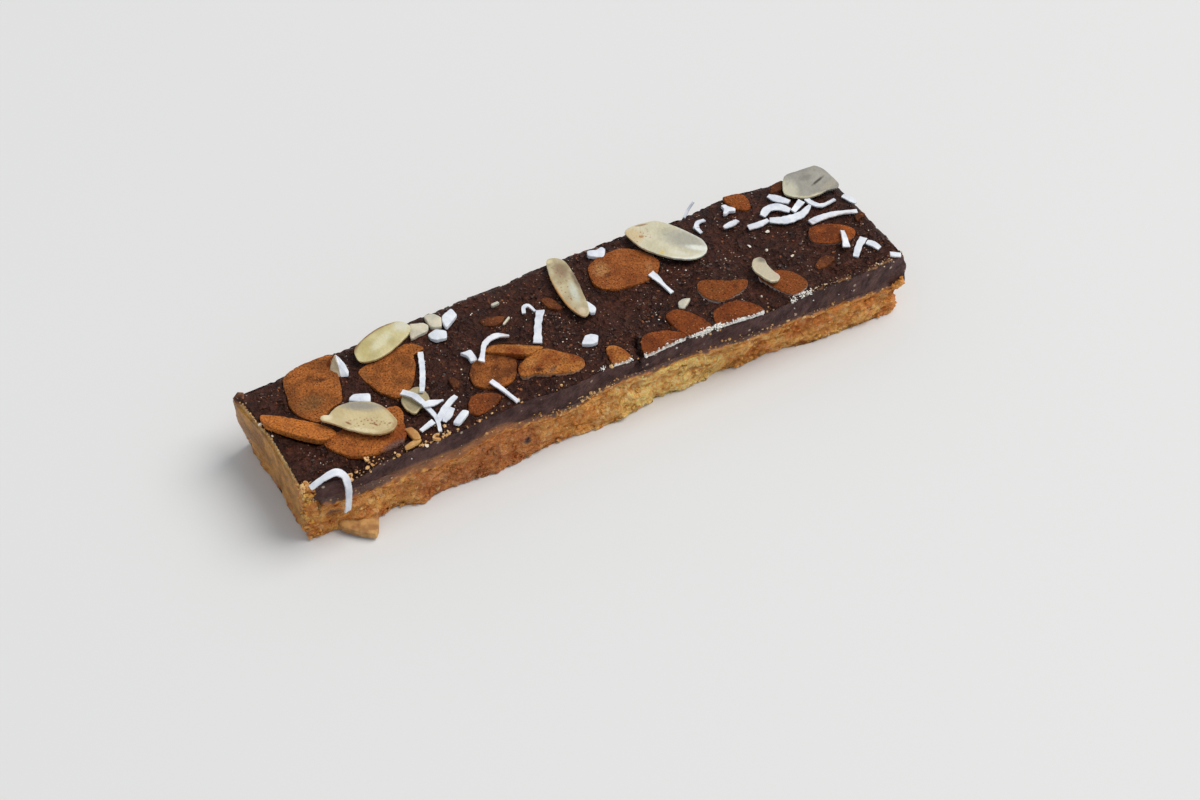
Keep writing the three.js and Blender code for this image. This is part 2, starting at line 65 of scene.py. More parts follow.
# %% [markdown]
# ## From millimetres to the scene
# The imported part has its origin under the middle of its box, a few tenths of a millimetre from the
# bar's own axes. One small function adds that step and scales to metres. Another turns points and
# faces into a mesh object, hides the solid that it stands for, and stores any value that goes
# with each point as an attribute, where a material can read it. Points are kept inside the box of the
# solids, so the dressed bar is never larger than the measured one.

# %% Millimetres of the bar as metres of the scene
MM = 0.001
MM_PER_M = 1000.0
BAR_IN_FRAME = np.array([0.1497, -0.1021, 0.0])


def to_frame(points):
    """Scene metres of points given in the bar's millimetres."""
    return (np.asarray(points, float) + BAR_IN_FRAME) * MM


print("the bar's own origin in the scene, m:", to_frame((0, 0, 0)).tolist())

# %% The mesh maker
KEEP_INSIDE = 2e-5  # metres that stay free inside the box of the solids


def make_piece(name, points, faces, material, node, values=None, crease=None):
    """A smooth mesh object from millimetre points, riding on the bar in place of a solid node."""
    lowest, highest = np.array(cad_low) + KEEP_INSIDE, np.array(cad_high) - KEEP_INSIDE
    placed = np.clip(to_frame(points), lowest, highest)
    mesh = bpy.data.meshes.new(name)
    mesh.from_pydata(placed.tolist(), [], [[int(i) for i in face] for face in faces])
    mesh.shade_smooth()
    if crease:
        mesh.set_sharp_from_angle(angle=math.radians(crease))
    for key, value in (values or {}).items():
        mesh.attributes.new(key, "FLOAT", "POINT").data.foreach_set("value", np.asarray(value, np.float32))
    mesh.materials.append(material)
    piece = bpy.data.objects.new(name, mesh)
    bpy.context.scene.collection.objects.link(piece)
    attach(piece, "root")
    if node:
        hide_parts(node)
    print(f"{name}: {len(mesh.polygons)} faces")
    return piece


# %% [markdown]
# ## Smooth runs and noise
# The knife wandered and the layers are uneven, so each edge is a run through a few measured stations.
# Crumbs and dents come from Blender's own noise: a fractal one for soft lumps, and a cell noise for
# packed crumbs, whose two nearest distances show how far a point is from a crack.

# %% Runs through stations
def smooth(t):
    """An eased step: 0 below 0, 1 above 1."""
    t = np.clip(t, 0, 1)
    return t * t * (3 - 2 * t)


def run(*stations):
    """A line through stations of place and value, with an eased step from each to the next."""
    at, value = np.array(stations, float).T

    def along(x):
        i = np.clip(np.searchsorted(at, x, side="right") - 1, 0, len(at) - 2)
        t = smooth((x - at[i]) / (at[i + 1] - at[i]))
        return value[i] + (value[i + 1] - value[i]) * t

    return along


print("a quarter of the way, an eased step has reached", float(smooth(0.25)))


# %% Two kinds of noise
def lumps(points, size, octaves=3, seed=0):
    """Soft noise from about -1 to 1, with lumps about `size` millimetres across."""
    spots = np.asarray(points, float) / size + 19.7 * seed
    return np.array([noise.fractal(Vector(p), 1.0, 2.0, octaves) for p in spots.tolist()])


def pebbles(points, size, seed=0):
    """Rounded cells: 1 in the middle of each, 0 in the cracks between them."""
    spots = np.asarray(points, float) / size + 7.3 * seed
    near = np.array([noise.voronoi(Vector(p))[0][:2] for p in spots.tolist()])
    return np.clip(1.5 * (near[:, 1] - near[:, 0]), 0, 1)


sample = lumps(np.random.default_rng(1).uniform(0, 100, (500, 3)), 5.0)
print("the soft noise runs from", round(sample.min(), 2), "to", round(sample.max(), 2))

# %% [markdown]
# ## The lines of the bar
# A straight block would look machined. The real bar narrows, bends and steps, so each of its lines was
# read off the photograph at a dozen places, as pairs of X and value. Everything that follows is laid
# out from these runs, so the layers and the crumbs on them always meet.

# %% Edges and foot, seen from above
front_edge = run((-86, -17), (-72, -18), (-60, -17.8), (-45, -17.4), (-27, -16.4), (-15, -17.3),
                 (-4, -16.1), (8, -17.2), (18, -16.6), (27, -17.1), (42, -18), (59, -17.4), (75, -17.6),
                 (86, -16.7))
back_edge = run((-86, 18.6), (-60, 20.6), (-35, 22.2), (-15, 23), (0, 24.2), (25, 24.6), (40, 23.2),
                (58, 24.7), (72, 23.4), (86, 22.8))
front_foot = run((-86, -17.2), (-79, -17.4), (-71, -19.5), (-63, -17.8), (-56, -19.8), (-50, -18.1),
                 (-36, -19.3), (-17, -17.7), (-2, -18.7), (12, -16.2), (20, -17), (30, -15.8), (38, -16.8),
                 (46, -16.1), (59, -18.5), (80, -18.8), (86, -17.4))
left_rim = run((-18, -85.7), (-7, -85.2), (2, -85.0), (10, -85.9), (15, -86.3), (18.6, -87.4))
RIM_FRONT, RIM_SPAN = -17.0, 36.0


def rim_beside(across):
    """X of the left rim, for across from -1 at the front to 1 at the back."""
    return left_rim(RIM_FRONT + (across + 1) / 2 * RIM_SPAN)


print("width of the top at the left, middle and right, mm:",
      [round(float(back_edge(x) - front_edge(x)), 1) for x in (-80.0, 0.0, 80.0)])

# %% Layers, seen from the front
BAR_HEIGHT = 18.0
chocolate_floor = run((-86, 12.6), (-70, 12.6), (-58, 11.7), (-46, 10.9), (-34, 12.9), (-26, 11.1),
                      (-17, 10.6), (-6, 11.2), (3, 13), (14, 12.4), (24, 11.7), (36, 11.2), (51, 11.3),
                      (61, 10.3), (73, 9.9), (88, 7.8))
caramel_depth = run((-84, 2.6), (-62, 3.4), (-40, 3), (-22, 2.2), (0, 1.7), (40, 1.5), (88, 1.4))
print("chocolate from", float(chocolate_floor(0.0)), "to", BAR_HEIGHT, "mm above the ground at the middle")

# %% How far caramel soaked into the crumb, and where the crumb is least baked
soak = run((-86, 0.6), (-72, 0.6), (-65, 0.55), (-50, 1), (-35, 1), (-27, 0.95), (-18, 0.5), (-5, 0.25),
           (8, 0), (28, 0), (38, 0.4), (55, 0.4), (72, 0.35), (86, 0.4))
blond = run((-86, 0), (-12, 0), (-4, 0.5), (6, 1), (28, 1), (38, 0), (86, 0))
print("soaked at the left and the middle:", float(soak(-50.0)), float(soak(10.0)))

# %% [markdown]
# ## Node helpers
# A material is a tree of nodes. This helper makes one node, sets its options and fills its sockets:
# a socket of another node is linked, anything else becomes the socket's own value. It keeps every
# material below as short as a recipe.

# %% One helper for every node
def fill(tree, socket, value):
    """Link a socket, or set it to a plain value."""
    if isinstance(value, bpy.types.NodeSocket):
        tree.links.new(value, socket)
    else:
        socket.default_value = value


def add_node(tree, kind, options=None, **sockets):
    """A shader node with its options and inputs; in names of inputs _ stands for a space."""
    made = tree.nodes.new("ShaderNode" + kind)
    for key, value in (options or {}).items():
        setattr(made, key, value)
    for key, value in sockets.items():
        fill(tree, made.inputs[key.replace("_", " ")], value)
    return made


# %% Arithmetic and mixing
def math_node(tree, operation, a, b=0.0):
    made = add_node(tree, "Math", {"operation": operation})
    fill(tree, made.inputs[0], a)
    fill(tree, made.inputs[1], b)
    return made.outputs[0]


def product(tree, a, b):
    return math_node(tree, "MULTIPLY", a, b)


def mix_colour(tree, share, a, b):
    """Colour a where share is 0, colour b where it is 1."""
    made = add_node(tree, "Mix", {"data_type": "RGBA"}, Factor=share)
    fill(tree, made.inputs["A"], a)
    fill(tree, made.inputs["B"], b)
    return made.outputs["Result"]


# %% Colours as the eye sees them
def colour(red, green, blue):
    """A display colour, 0 to 255, as the linear colour that a shader wants."""
    def linear(c):
        c /= 255
        return c / 12.92 if c <= 0.04045 else ((c + 0.055) / 1.055) ** 2.4

    return (linear(red), linear(green), linear(blue), 1.0)


print("display grey 128 as linear light:", round(colour(128, 128, 128)[0], 3))


# %% [markdown]
# ## Shared effects as node groups
# Four effects come back in most of the materials here: broad patches of another shade, fine pores,
# packed crumbs, and a single blot at a given place. Each is one node group with named inputs in
# millimetres. A group gives out only masks and heights, and the material decides what they colour.

# %% A new group with its sockets
def new_group(name, inputs, outputs):
    group = bpy.data.node_groups.new(name, "ShaderNodeTree")
    for label, kind, value in inputs:
        made = group.interface.new_socket(label, in_out="INPUT", socket_type=kind)
        if value is not None:
            made.default_value = value
    for label in outputs:
        group.interface.new_socket(label, in_out="OUTPUT", socket_type="NodeSocketFloat")
    start = group.nodes.new("NodeGroupInput").outputs
    end = group.nodes.new("NodeGroupOutput").inputs
    return group, start, end


def use_group(tree, group, **sockets):
    """The outputs of a group that is placed in a tree."""
    made = tree.nodes.new("ShaderNodeGroup")
    made.node_tree = group
    for key, value in sockets.items():
        fill(tree, made.inputs[key.replace("_", " ")], value)
    return made.outputs


# %% Patches: soft mottling of a chosen size
FLOAT, VECTOR = "NodeSocketFloat", "NodeSocketVector"
EASED = {"interpolation_type": "SMOOTHSTEP"}
patches, start, end = new_group(
    "patches",
    [("Vector", VECTOR, None), ("Size", FLOAT, 5.0), ("Low", FLOAT, 0.4), ("High", FLOAT, 0.6),
     ("Detail", FLOAT, 3.0)],
    ["Mask"])
scale = math_node(patches, "DIVIDE", MM_PER_M, start["Size"])
cloud = add_node(patches, "TexNoise", Vector=start["Vector"], Scale=scale, Detail=start["Detail"])
band = add_node(patches, "MapRange", EASED, Value=cloud.outputs["Fac"],
                From_Min=start["Low"], From_Max=start["High"])
patches.links.new(band.outputs["Result"], end["Mask"])

# %% Pores: small points, more of them where Amount is higher
pores, start, end = new_group(
    "pores", [("Vector", VECTOR, None), ("Size", FLOAT, 0.5), ("Amount", FLOAT, 0.5)], ["Mask"])
scale = math_node(pores, "DIVIDE", MM_PER_M, start["Size"])
cells = add_node(pores, "TexVoronoi", Vector=start["Vector"], Scale=scale, Randomness=1.0)
pick = add_node(pores, "SeparateColor", Color=cells.outputs["Color"]).outputs["Red"]
chosen = math_node(pores, "LESS_THAN", pick, start["Amount"])
dot = add_node(pores, "MapRange", EASED, Value=cells.outputs["Distance"],
               From_Min=0.42, From_Max=0.18)
pores.links.new(product(pores, dot.outputs["Result"], chosen), end["Mask"])

# %% Crumb: packed grains with cracks between them
crumb, start, end = new_group(
    "crumb", [("Vector", VECTOR, None), ("Size", FLOAT, 1.0), ("Warp", FLOAT, 0.4)],
    ["Height", "Crack", "Grain"])
scale = math_node(crumb, "DIVIDE", MM_PER_M, start["Size"])
bend = add_node(crumb, "TexNoise", Vector=start["Vector"], Scale=scale, Detail=2.0)
shift = add_node(crumb, "VectorMath", {"operation": "SCALE"}, Vector=bend.outputs["Color"],
                 Scale=math_node(crumb, "DIVIDE", start["Warp"], scale))
moved = add_node(crumb, "VectorMath", {"operation": "ADD"})
fill(crumb, moved.inputs[0], start["Vector"])
fill(crumb, moved.inputs[1], shift.outputs["Vector"])
near = add_node(crumb, "TexVoronoi", Vector=moved.outputs["Vector"], Scale=scale, Randomness=1.0)
edge = add_node(crumb, "TexVoronoi", {"feature": "DISTANCE_TO_EDGE"}, Vector=moved.outputs["Vector"],
                Scale=scale)
crack = add_node(crumb, "MapRange", EASED, Value=edge.outputs["Distance"],
                 From_Min=0.16, From_Max=0.0)
round_top = math_node(crumb, "SUBTRACT", 1.0, near.outputs["Distance"])
crumb.links.new(math_node(crumb, "SUBTRACT", round_top, crack.outputs["Result"]), end["Height"])
crumb.links.new(crack.outputs["Result"], end["Crack"])
crumb.links.new(add_node(crumb, "SeparateColor", Color=near.outputs["Color"]).outputs["Green"],
                end["Grain"])

# %% Blot: one soft oval mark at a given place
TORN_SCALE = 900.0
blot, start, end = new_group(
    "blot",
    [("Vector", VECTOR, None), ("Centre", VECTOR, None), ("Turn", FLOAT, 0.0), ("Length", FLOAT, 4.0),
     ("Width", FLOAT, 2.0), ("Height", FLOAT, 500.0), ("Ragged", FLOAT, 0.3)],
    ["Mask"])
apart = add_node(blot, "VectorMath", {"operation": "SUBTRACT"})
fill(blot, apart.inputs[0], start["Vector"])
fill(blot, apart.inputs[1], start["Centre"])
turned = add_node(blot, "VectorRotate", {"rotation_type": "Z_AXIS"}, Vector=apart.outputs["Vector"],
                  Angle=product(blot, start["Turn"], -math.pi / 180))
halves = add_node(blot, "CombineXYZ", X=start["Length"], Y=start["Width"], Z=start["Height"])
shares = add_node(blot, "VectorMath", {"operation": "DIVIDE"})
fill(blot, shares.inputs[0], turned.outputs["Vector"])
fill(blot, shares.inputs[1], halves.outputs["Vector"])
length = add_node(blot, "VectorMath", {"operation": "LENGTH"}, Vector=shares.outputs["Vector"])
torn = add_node(blot, "TexNoise", Vector=start["Vector"], Scale=TORN_SCALE, Detail=3.0)
wander = product(blot, math_node(blot, "SUBTRACT", torn.outputs["Fac"], 0.5), start["Ragged"])
reach = product(blot, length.outputs["Value"], 2 * MM_PER_M)
rim = math_node(blot, "ADD", reach, product(blot, wander, 2.0))
inside = add_node(blot, "MapRange", EASED, Value=rim, From_Min=1.25, From_Max=0.35)
blot.links.new(inside.outputs["Result"], end["Mask"])
print("node groups:", [g.name for g in bpy.data.node_groups])


# %% [markdown]
# ## A material to start from
# Each finish starts as a Principled BSDF with a bump in front of its normal. Values that are the same
# all over the surface, such as the specular level, are set on the shader's own sockets. A small helper
# lays one tint over another by a mask and a strength, like a glaze.

# %% Start and close a material
def new_material(name, **shader_values):
    """A material, its tree and shader, and the place on the bar that its textures follow."""
    material = bpy.data.materials.new(name)
    material.use_nodes = True
    tree = material.node_tree
    shader = tree.nodes["Principled BSDF"]
    for key, value in shader_values.items():
        shader.inputs[key.replace("_", " ")].default_value = value
    place = tree.nodes.new("ShaderNodeTexCoord").outputs["Object"]
    print("material:", name)
    return material, tree, shader, place


def glaze(tree, base, mask, strength, tint):
    """One tint over the base, as far as mask and strength let it through."""
    return mix_colour(tree, product(tree, mask, strength), base, tint)


def finish_surface(tree, shader, base, rough, height, depth):
    """Colour, roughness and a bump of `depth` millimetres."""
    fill(tree, shader.inputs["Base Color"], base)
    fill(tree, shader.inputs["Roughness"], rough)
    bump = add_node(tree, "Bump", Height=height, Distance=depth * MM, Strength=1.0)
    tree.links.new(bump.outputs["Normal"], shader.inputs["Normal"])


# %% Values that a mesh carries, and blots by the list
EVERY_HEIGHT = (0.0, 500.0)


def attribute(tree, name):
    return add_node(tree, "Attribute", {"attribute_name": name}).outputs["Fac"]


def add_blots(tree, place, base, blots):
    """Blots as rows: (x, y), turn, length, width, tint, strength, and for a side face z and height."""
    for (x, y), turn, length, width, tint, strength, *side in blots:
        z, tall = side or EVERY_HEIGHT
        mark = use_group(tree, blot, Vector=place, Centre=tuple(to_frame((x, y, z))), Turn=turn,
                         Length=length, Width=width, Height=tall)
        base = glaze(tree, base, mark["Mask"], strength, tint)
    return base


# %% [markdown]
# ## Chocolate
# Dark chocolate set with a dull, finely dented top full of nut dust, and it was cut when nearly firm,
# so the cut faces are smoother and have a purple-grey bloom. One material does both: the mesh carries
# a value, side, that is 1 on the cut faces, and another, smear, where caramel was dragged over it.

# %% Chocolate: the dented, dusty top
chocolate, tree, shader, place = new_material("chocolate", Specular_IOR_Level=0.15)
side = attribute(tree, "side")
smear = attribute(tree, "smear")
broad = use_group(tree, patches, Vector=place, Size=7.0, Low=0.36, High=0.64)["Mask"]
fine = use_group(tree, patches, Vector=place, Size=1.0, Low=0.38, High=0.66, Detail=4.0)["Mask"]
dents = use_group(tree, patches, Vector=place, Size=1.7, Low=0.32, High=0.68, Detail=4.0)["Mask"]
# Painted shade: the top is darker in the dents and lighter on the rises between them.
top = mix_colour(tree, dents, colour(34, 14, 10), colour(68, 37, 28))
top = glaze(tree, top, broad, 0.35, colour(82, 40, 24))
# Painted shade: broad soft patches darkened as if they lay in shallow hollows.
broad_shade = use_group(tree, patches, Vector=place, Size=5.0, Low=0.5, High=0.68, Detail=4.0)["Mask"]
top = glaze(tree, top, broad_shade, 0.6, colour(30, 12, 10))
top = glaze(tree, top, fine, 0.25, colour(86, 52, 38))
dusty = use_group(tree, patches, Vector=place, Size=2.0, Low=0.56, High=0.7, Detail=6.0)["Mask"]
top = glaze(tree, top, dusty, 0.45, colour(108, 62, 38))
dust = use_group(tree, pores, Vector=place, Size=0.75, Amount=0.08)["Mask"]
top = glaze(tree, top, dust, 0.5, colour(140, 84, 52))
# Pale specks in loose sprays: partly real sugar dust, partly painted highlights standing for glints on the
# glossy bumps.
spray = use_group(tree, patches, Vector=place, Size=9.0, Low=0.46, High=0.6)["Mask"]
glint = use_group(tree, pores, Vector=place, Size=0.6, Amount=0.1)["Mask"]
top = glaze(tree, top, product(tree, glint, spray), 0.8, colour(222, 190, 168))

# %% Chocolate: the cut faces, and the finish of all
bloom = use_group(tree, patches, Vector=place, Size=3.2, Low=0.36, High=0.66, Detail=5.0)["Mask"]
cut = mix_colour(tree, bloom, colour(60, 35, 33), colour(90, 61, 57))
speck = use_group(tree, pores, Vector=place, Size=1.3, Amount=0.04)["Mask"]
cut = glaze(tree, cut, speck, 0.7, colour(214, 190, 168))
base = mix_colour(tree, side, top, cut)
# Painted shade: a dark line down the cleft in the top.
base = add_blots(tree, place, base, [((7.0, -14.0), 68, 11.0, 1.7, colour(22, 10, 9), 0.8)])
base = mix_colour(tree, smear, base, colour(176, 122, 80))
rough = add_node(tree, "MapRange", Value=fine, To_Min=0.28, To_Max=0.5).outputs["Result"]
grit = math_node(tree, "ADD", product(tree, fine, 0.5), dust)
height = math_node(tree, "ADD", product(tree, dents, 1.6), grit)
flat = math_node(tree, "SUBTRACT", 1.0, product(tree, side, 0.75))
finish_surface(tree, shader, base, rough, product(tree, height, flat), 0.45)

# %% [markdown]
# ## Caramel
# The caramel was cooked to a light orange brown and is smooth and wet-looking where it was cut. A low
# roughness and a little subsurface light give it depth. Patches keep it from looking like plastic.

# %% Caramel material
caramel, tree, shader, place = new_material(
    "caramel", Subsurface_Weight=0.15, Subsurface_Radius=(0.6, 0.3, 0.12), Subsurface_Scale=0.001,
    Specular_IOR_Level=0.45)
stain = attribute(tree, "stain")
crumbly = attribute(tree, "crumbly")
drag = use_group(tree, patches, Vector=place, Size=6.0, Low=0.3, High=0.7)["Mask"]
base = mix_colour(tree, drag, colour(176, 104, 50), colour(148, 84, 40))
soft = use_group(tree, patches, Vector=place, Size=1.6, Low=0.35, High=0.75, Detail=4.0)["Mask"]
base = glaze(tree, base, soft, 0.4, colour(208, 146, 84))
crumbs = mix_colour(tree, soft, colour(204, 118, 40), colour(246, 184, 96))
base = mix_colour(tree, crumbly, base, crumbs)
base = mix_colour(tree, stain, base, colour(80, 52, 47))
streak = use_group(tree, patches, Vector=place, Size=3.4, Low=0.5, High=0.7)["Mask"]
base = glaze(tree, base, streak, 0.55, colour(116, 66, 38))
bits = use_group(tree, pores, Vector=place, Size=0.9, Amount=0.12)["Mask"]
base = glaze(tree, base, bits, 0.5, colour(236, 186, 126))
rough = add_node(tree, "MapRange", Value=soft, To_Min=0.3, To_Max=0.5).outputs["Result"]
finish_surface(tree, shader, base, rough, soft, 0.25)

# %% [markdown]
# ## Shortbread
# Butter-rich crumb that broke rather than cut: golden, with paler grains, partly pale crumb and partly
# painted highlight, painted shade in its hollows and a soft buttery shine. It is browner towards the
# left, where the caramel soaked in, and the left end itself is a smooth, olive-tan skin that baked
# against the tray. The mesh carries these as values: skin, soaked, blond for the least baked stretch,
# one for painted shade by the depth of a crevice, and pale for broken rims.

# %% Shortbread: golden crumb, browner where caramel soaked in
shortbread, tree, shader, place = new_material(
    "shortbread", Subsurface_Weight=0.3, Subsurface_Radius=(1.0, 0.5, 0.18), Subsurface_Scale=0.0015,
    Specular_IOR_Level=0.45)
skin = attribute(tree, "skin")
soaked = attribute(tree, "soaked")
crevice_shade = attribute(tree, "crevice_shade")
pale = attribute(tree, "pale")
grains = use_group(tree, crumb, Vector=place, Size=1.2, Warp=1.2)
small = use_group(tree, patches, Vector=place, Size=0.7, Low=0.3, High=0.7, Detail=3.0)["Mask"]
warm = use_group(tree, patches, Vector=place, Size=4.5, Low=0.38, High=0.62, Detail=4.0)["Mask"]
deep = use_group(tree, patches, Vector=place, Size=2.2, Low=0.52, High=0.66, Detail=5.0)["Mask"]
golden = mix_colour(tree, warm, colour(244, 146, 46), colour(255, 194, 98))
golden = mix_colour(tree, product(tree, attribute(tree, "blond"), small), golden, colour(255, 226, 140))
golden = glaze(tree, golden, deep, 0.4, colour(206, 98, 20))
brown = mix_colour(tree, warm, colour(164, 80, 26), colour(204, 116, 46))
brown = glaze(tree, brown, deep, 0.5, colour(116, 58, 26))
base = mix_colour(tree, soaked, golden, brown)
# Small pale beige patches and paler grains: partly pale crumb, partly painted highlights.
base = glaze(tree, base, small, 0.18, colour(255, 206, 122))
pale_grain_and_highlight = math_node(tree, "GREATER_THAN", grains["Grain"], 0.83)
unsoaked = math_node(tree, "SUBTRACT", 1.0, product(tree, soaked, 0.8))
base = glaze(tree, base, product(tree, pale_grain_and_highlight, unsoaked), 0.35, colour(255, 232, 172))
dark_grain = math_node(tree, "LESS_THAN", grains["Grain"], 0.08)
base = glaze(tree, base, dark_grain, 0.35, colour(170, 100, 42))
# Painted shade: darker orange deep in the crevices of the broken crumb.
base = mix_colour(tree, crevice_shade, base, colour(184, 98, 32))

# %% Shortbread: single marks on the front face
base = add_blots(tree, place, base, [
    ((-78.7, -18.0), 0, 5.0, 8.0, colour(104, 66, 56), 0.85, 6.6, 2.6),
    ((-66.3, -18.5), 0, 5.5, 8.0, colour(190, 112, 40), 0.8, 2.2, 3.2),
    ((-26.5, -17.8), 0, 2.4, 8.0, colour(62, 42, 44), 0.95, 5.1, 2.0),
    ((-45.0, -18.0), 0, 9.0, 8.0, colour(214, 150, 78), 0.5, 7.0, 3.5),
    ((-59.0, -18.0), 0, 7.0, 8.0, colour(206, 140, 70), 0.5, 6.5, 3.0)])

# %% Shortbread: the baked skin, the broken rim, and the finish of all
pressed = use_group(tree, patches, Vector=place, Size=4.0, Low=0.36, High=0.64, Detail=6.0)["Mask"]
baked = mix_colour(tree, pressed, colour(152, 96, 24), colour(206, 140, 48))
baked = glaze(tree, baked, deep, 0.4, colour(110, 68, 22))
base = mix_colour(tree, skin, base, baked)
base = mix_colour(tree, pale, base, colour(222, 178, 116))
height = math_node(tree, "ADD", product(tree, grains["Height"], 0.3), product(tree, small, 0.7))
calm = math_node(tree, "SUBTRACT", 1.0, product(tree, skin, 0.5))
rough = add_node(tree, "MapRange", Value=small, To_Min=0.3, To_Max=0.55).outputs["Result"]
finish_surface(tree, shader, base, rough, product(tree, height, calm), 0.36)

# %% [markdown]
# ## Almond skins and kernels
# The slices that lie skin side up are cinnamon brown and look powdery, because the skin is covered in
# fine dark pores. Their knife-cut sides are white. The slices that lie the other way up are ivory and
# waxy. Each slice gets its own shade and its own blots, so the recipes are functions.

# %% Skin-up almond material
def almond_skin(name, light, dark, blots=()):
    """Powdery brown skin in two shades, with white where the mesh's kernel value is 1."""
    material, tree, shader, place = new_material(name, Specular_IOR_Level=0.1)
    kernel = attribute(tree, "kernel")
    shade = use_group(tree, patches, Vector=place, Size=5.0, Low=0.32, High=0.68, Detail=5.0)["Mask"]
    base = mix_colour(tree, shade, light, dark)
    base = add_blots(tree, place, base, blots)
    powder = use_group(tree, patches, Vector=place, Size=0.5, Low=0.44, High=0.6, Detail=2.0)["Mask"]
    base = glaze(tree, base, powder, 0.45, colour(84, 44, 22))
    pore = use_group(tree, pores, Vector=place, Size=0.62, Amount=0.45)["Mask"]
    base = glaze(tree, base, pore, 0.55, colour(56, 29, 16))
    bright = use_group(tree, pores, Vector=place, Size=0.5, Amount=0.12)["Mask"]
    base = glaze(tree, base, bright, 0.4, colour(224, 156, 96))
    base = mix_colour(tree, kernel, base, colour(255, 252, 246))
    wrinkle = use_group(tree, patches, Vector=place, Size=1.6, Low=0.3, High=0.7, Detail=4.0)["Mask"]
    sunk = math_node(tree, "ADD", product(tree, powder, 0.6), pore)
    height = math_node(tree, "SUBTRACT", product(tree, wrinkle, 1.4), sunk)
    finish_surface(tree, shader, base, 0.7, height, 0.13)
    return material


# %% Pale-up almond material
RIM_BROWN = colour(150, 112, 66)


def almond_pale(name, light, dark, rim_tint=RIM_BROWN, blots=(), freckled=()):
    """Waxy kernel in two shades, with a tinted rim, blots, and areas with freckles."""
    material, tree, shader, place = new_material(
        name, Subsurface_Weight=0.2, Subsurface_Radius=(0.8, 0.6, 0.4), Subsurface_Scale=0.001,
        Specular_IOR_Level=0.45)
    rim = attribute(tree, "rim")
    shade = use_group(tree, patches, Vector=place, Size=5.0, Low=0.3, High=0.7, Detail=4.0)["Mask"]
    base = mix_colour(tree, shade, light, dark)
    base = mix_colour(tree, rim, base, rim_tint)
    base = add_blots(tree, place, base, blots)
    freckle = use_group(tree, pores, Vector=place, Size=0.75, Amount=0.6)["Mask"]
    for (x, y), turn, length, width in freckled:
        area = use_group(tree, blot, Vector=place, Centre=tuple(to_frame((x, y, 0))), Turn=turn,
                         Length=length, Width=width)
        base = glaze(tree, base, product(tree, area["Mask"], freckle), 0.8, colour(150, 90, 46))
    grain = use_group(tree, patches, Vector=place, Size=0.9, Low=0.3, High=0.7)["Mask"]
    rough = add_node(tree, "MapRange", Value=grain, To_Min=0.34, To_Max=0.52).outputs["Result"]
    finish_surface(tree, shader, base, rough, grain, 0.06)
    return material


# %% [markdown]
# ## The almond slices as outlines
# Every slice is an outline seen from above: a few knots, read off with the camera of the photograph
# and joined by a smooth closed curve. A list of knots follows a bent or broken slice much better than
# an ellipse does. Each row also says how high the rim lies and how the slice leans.

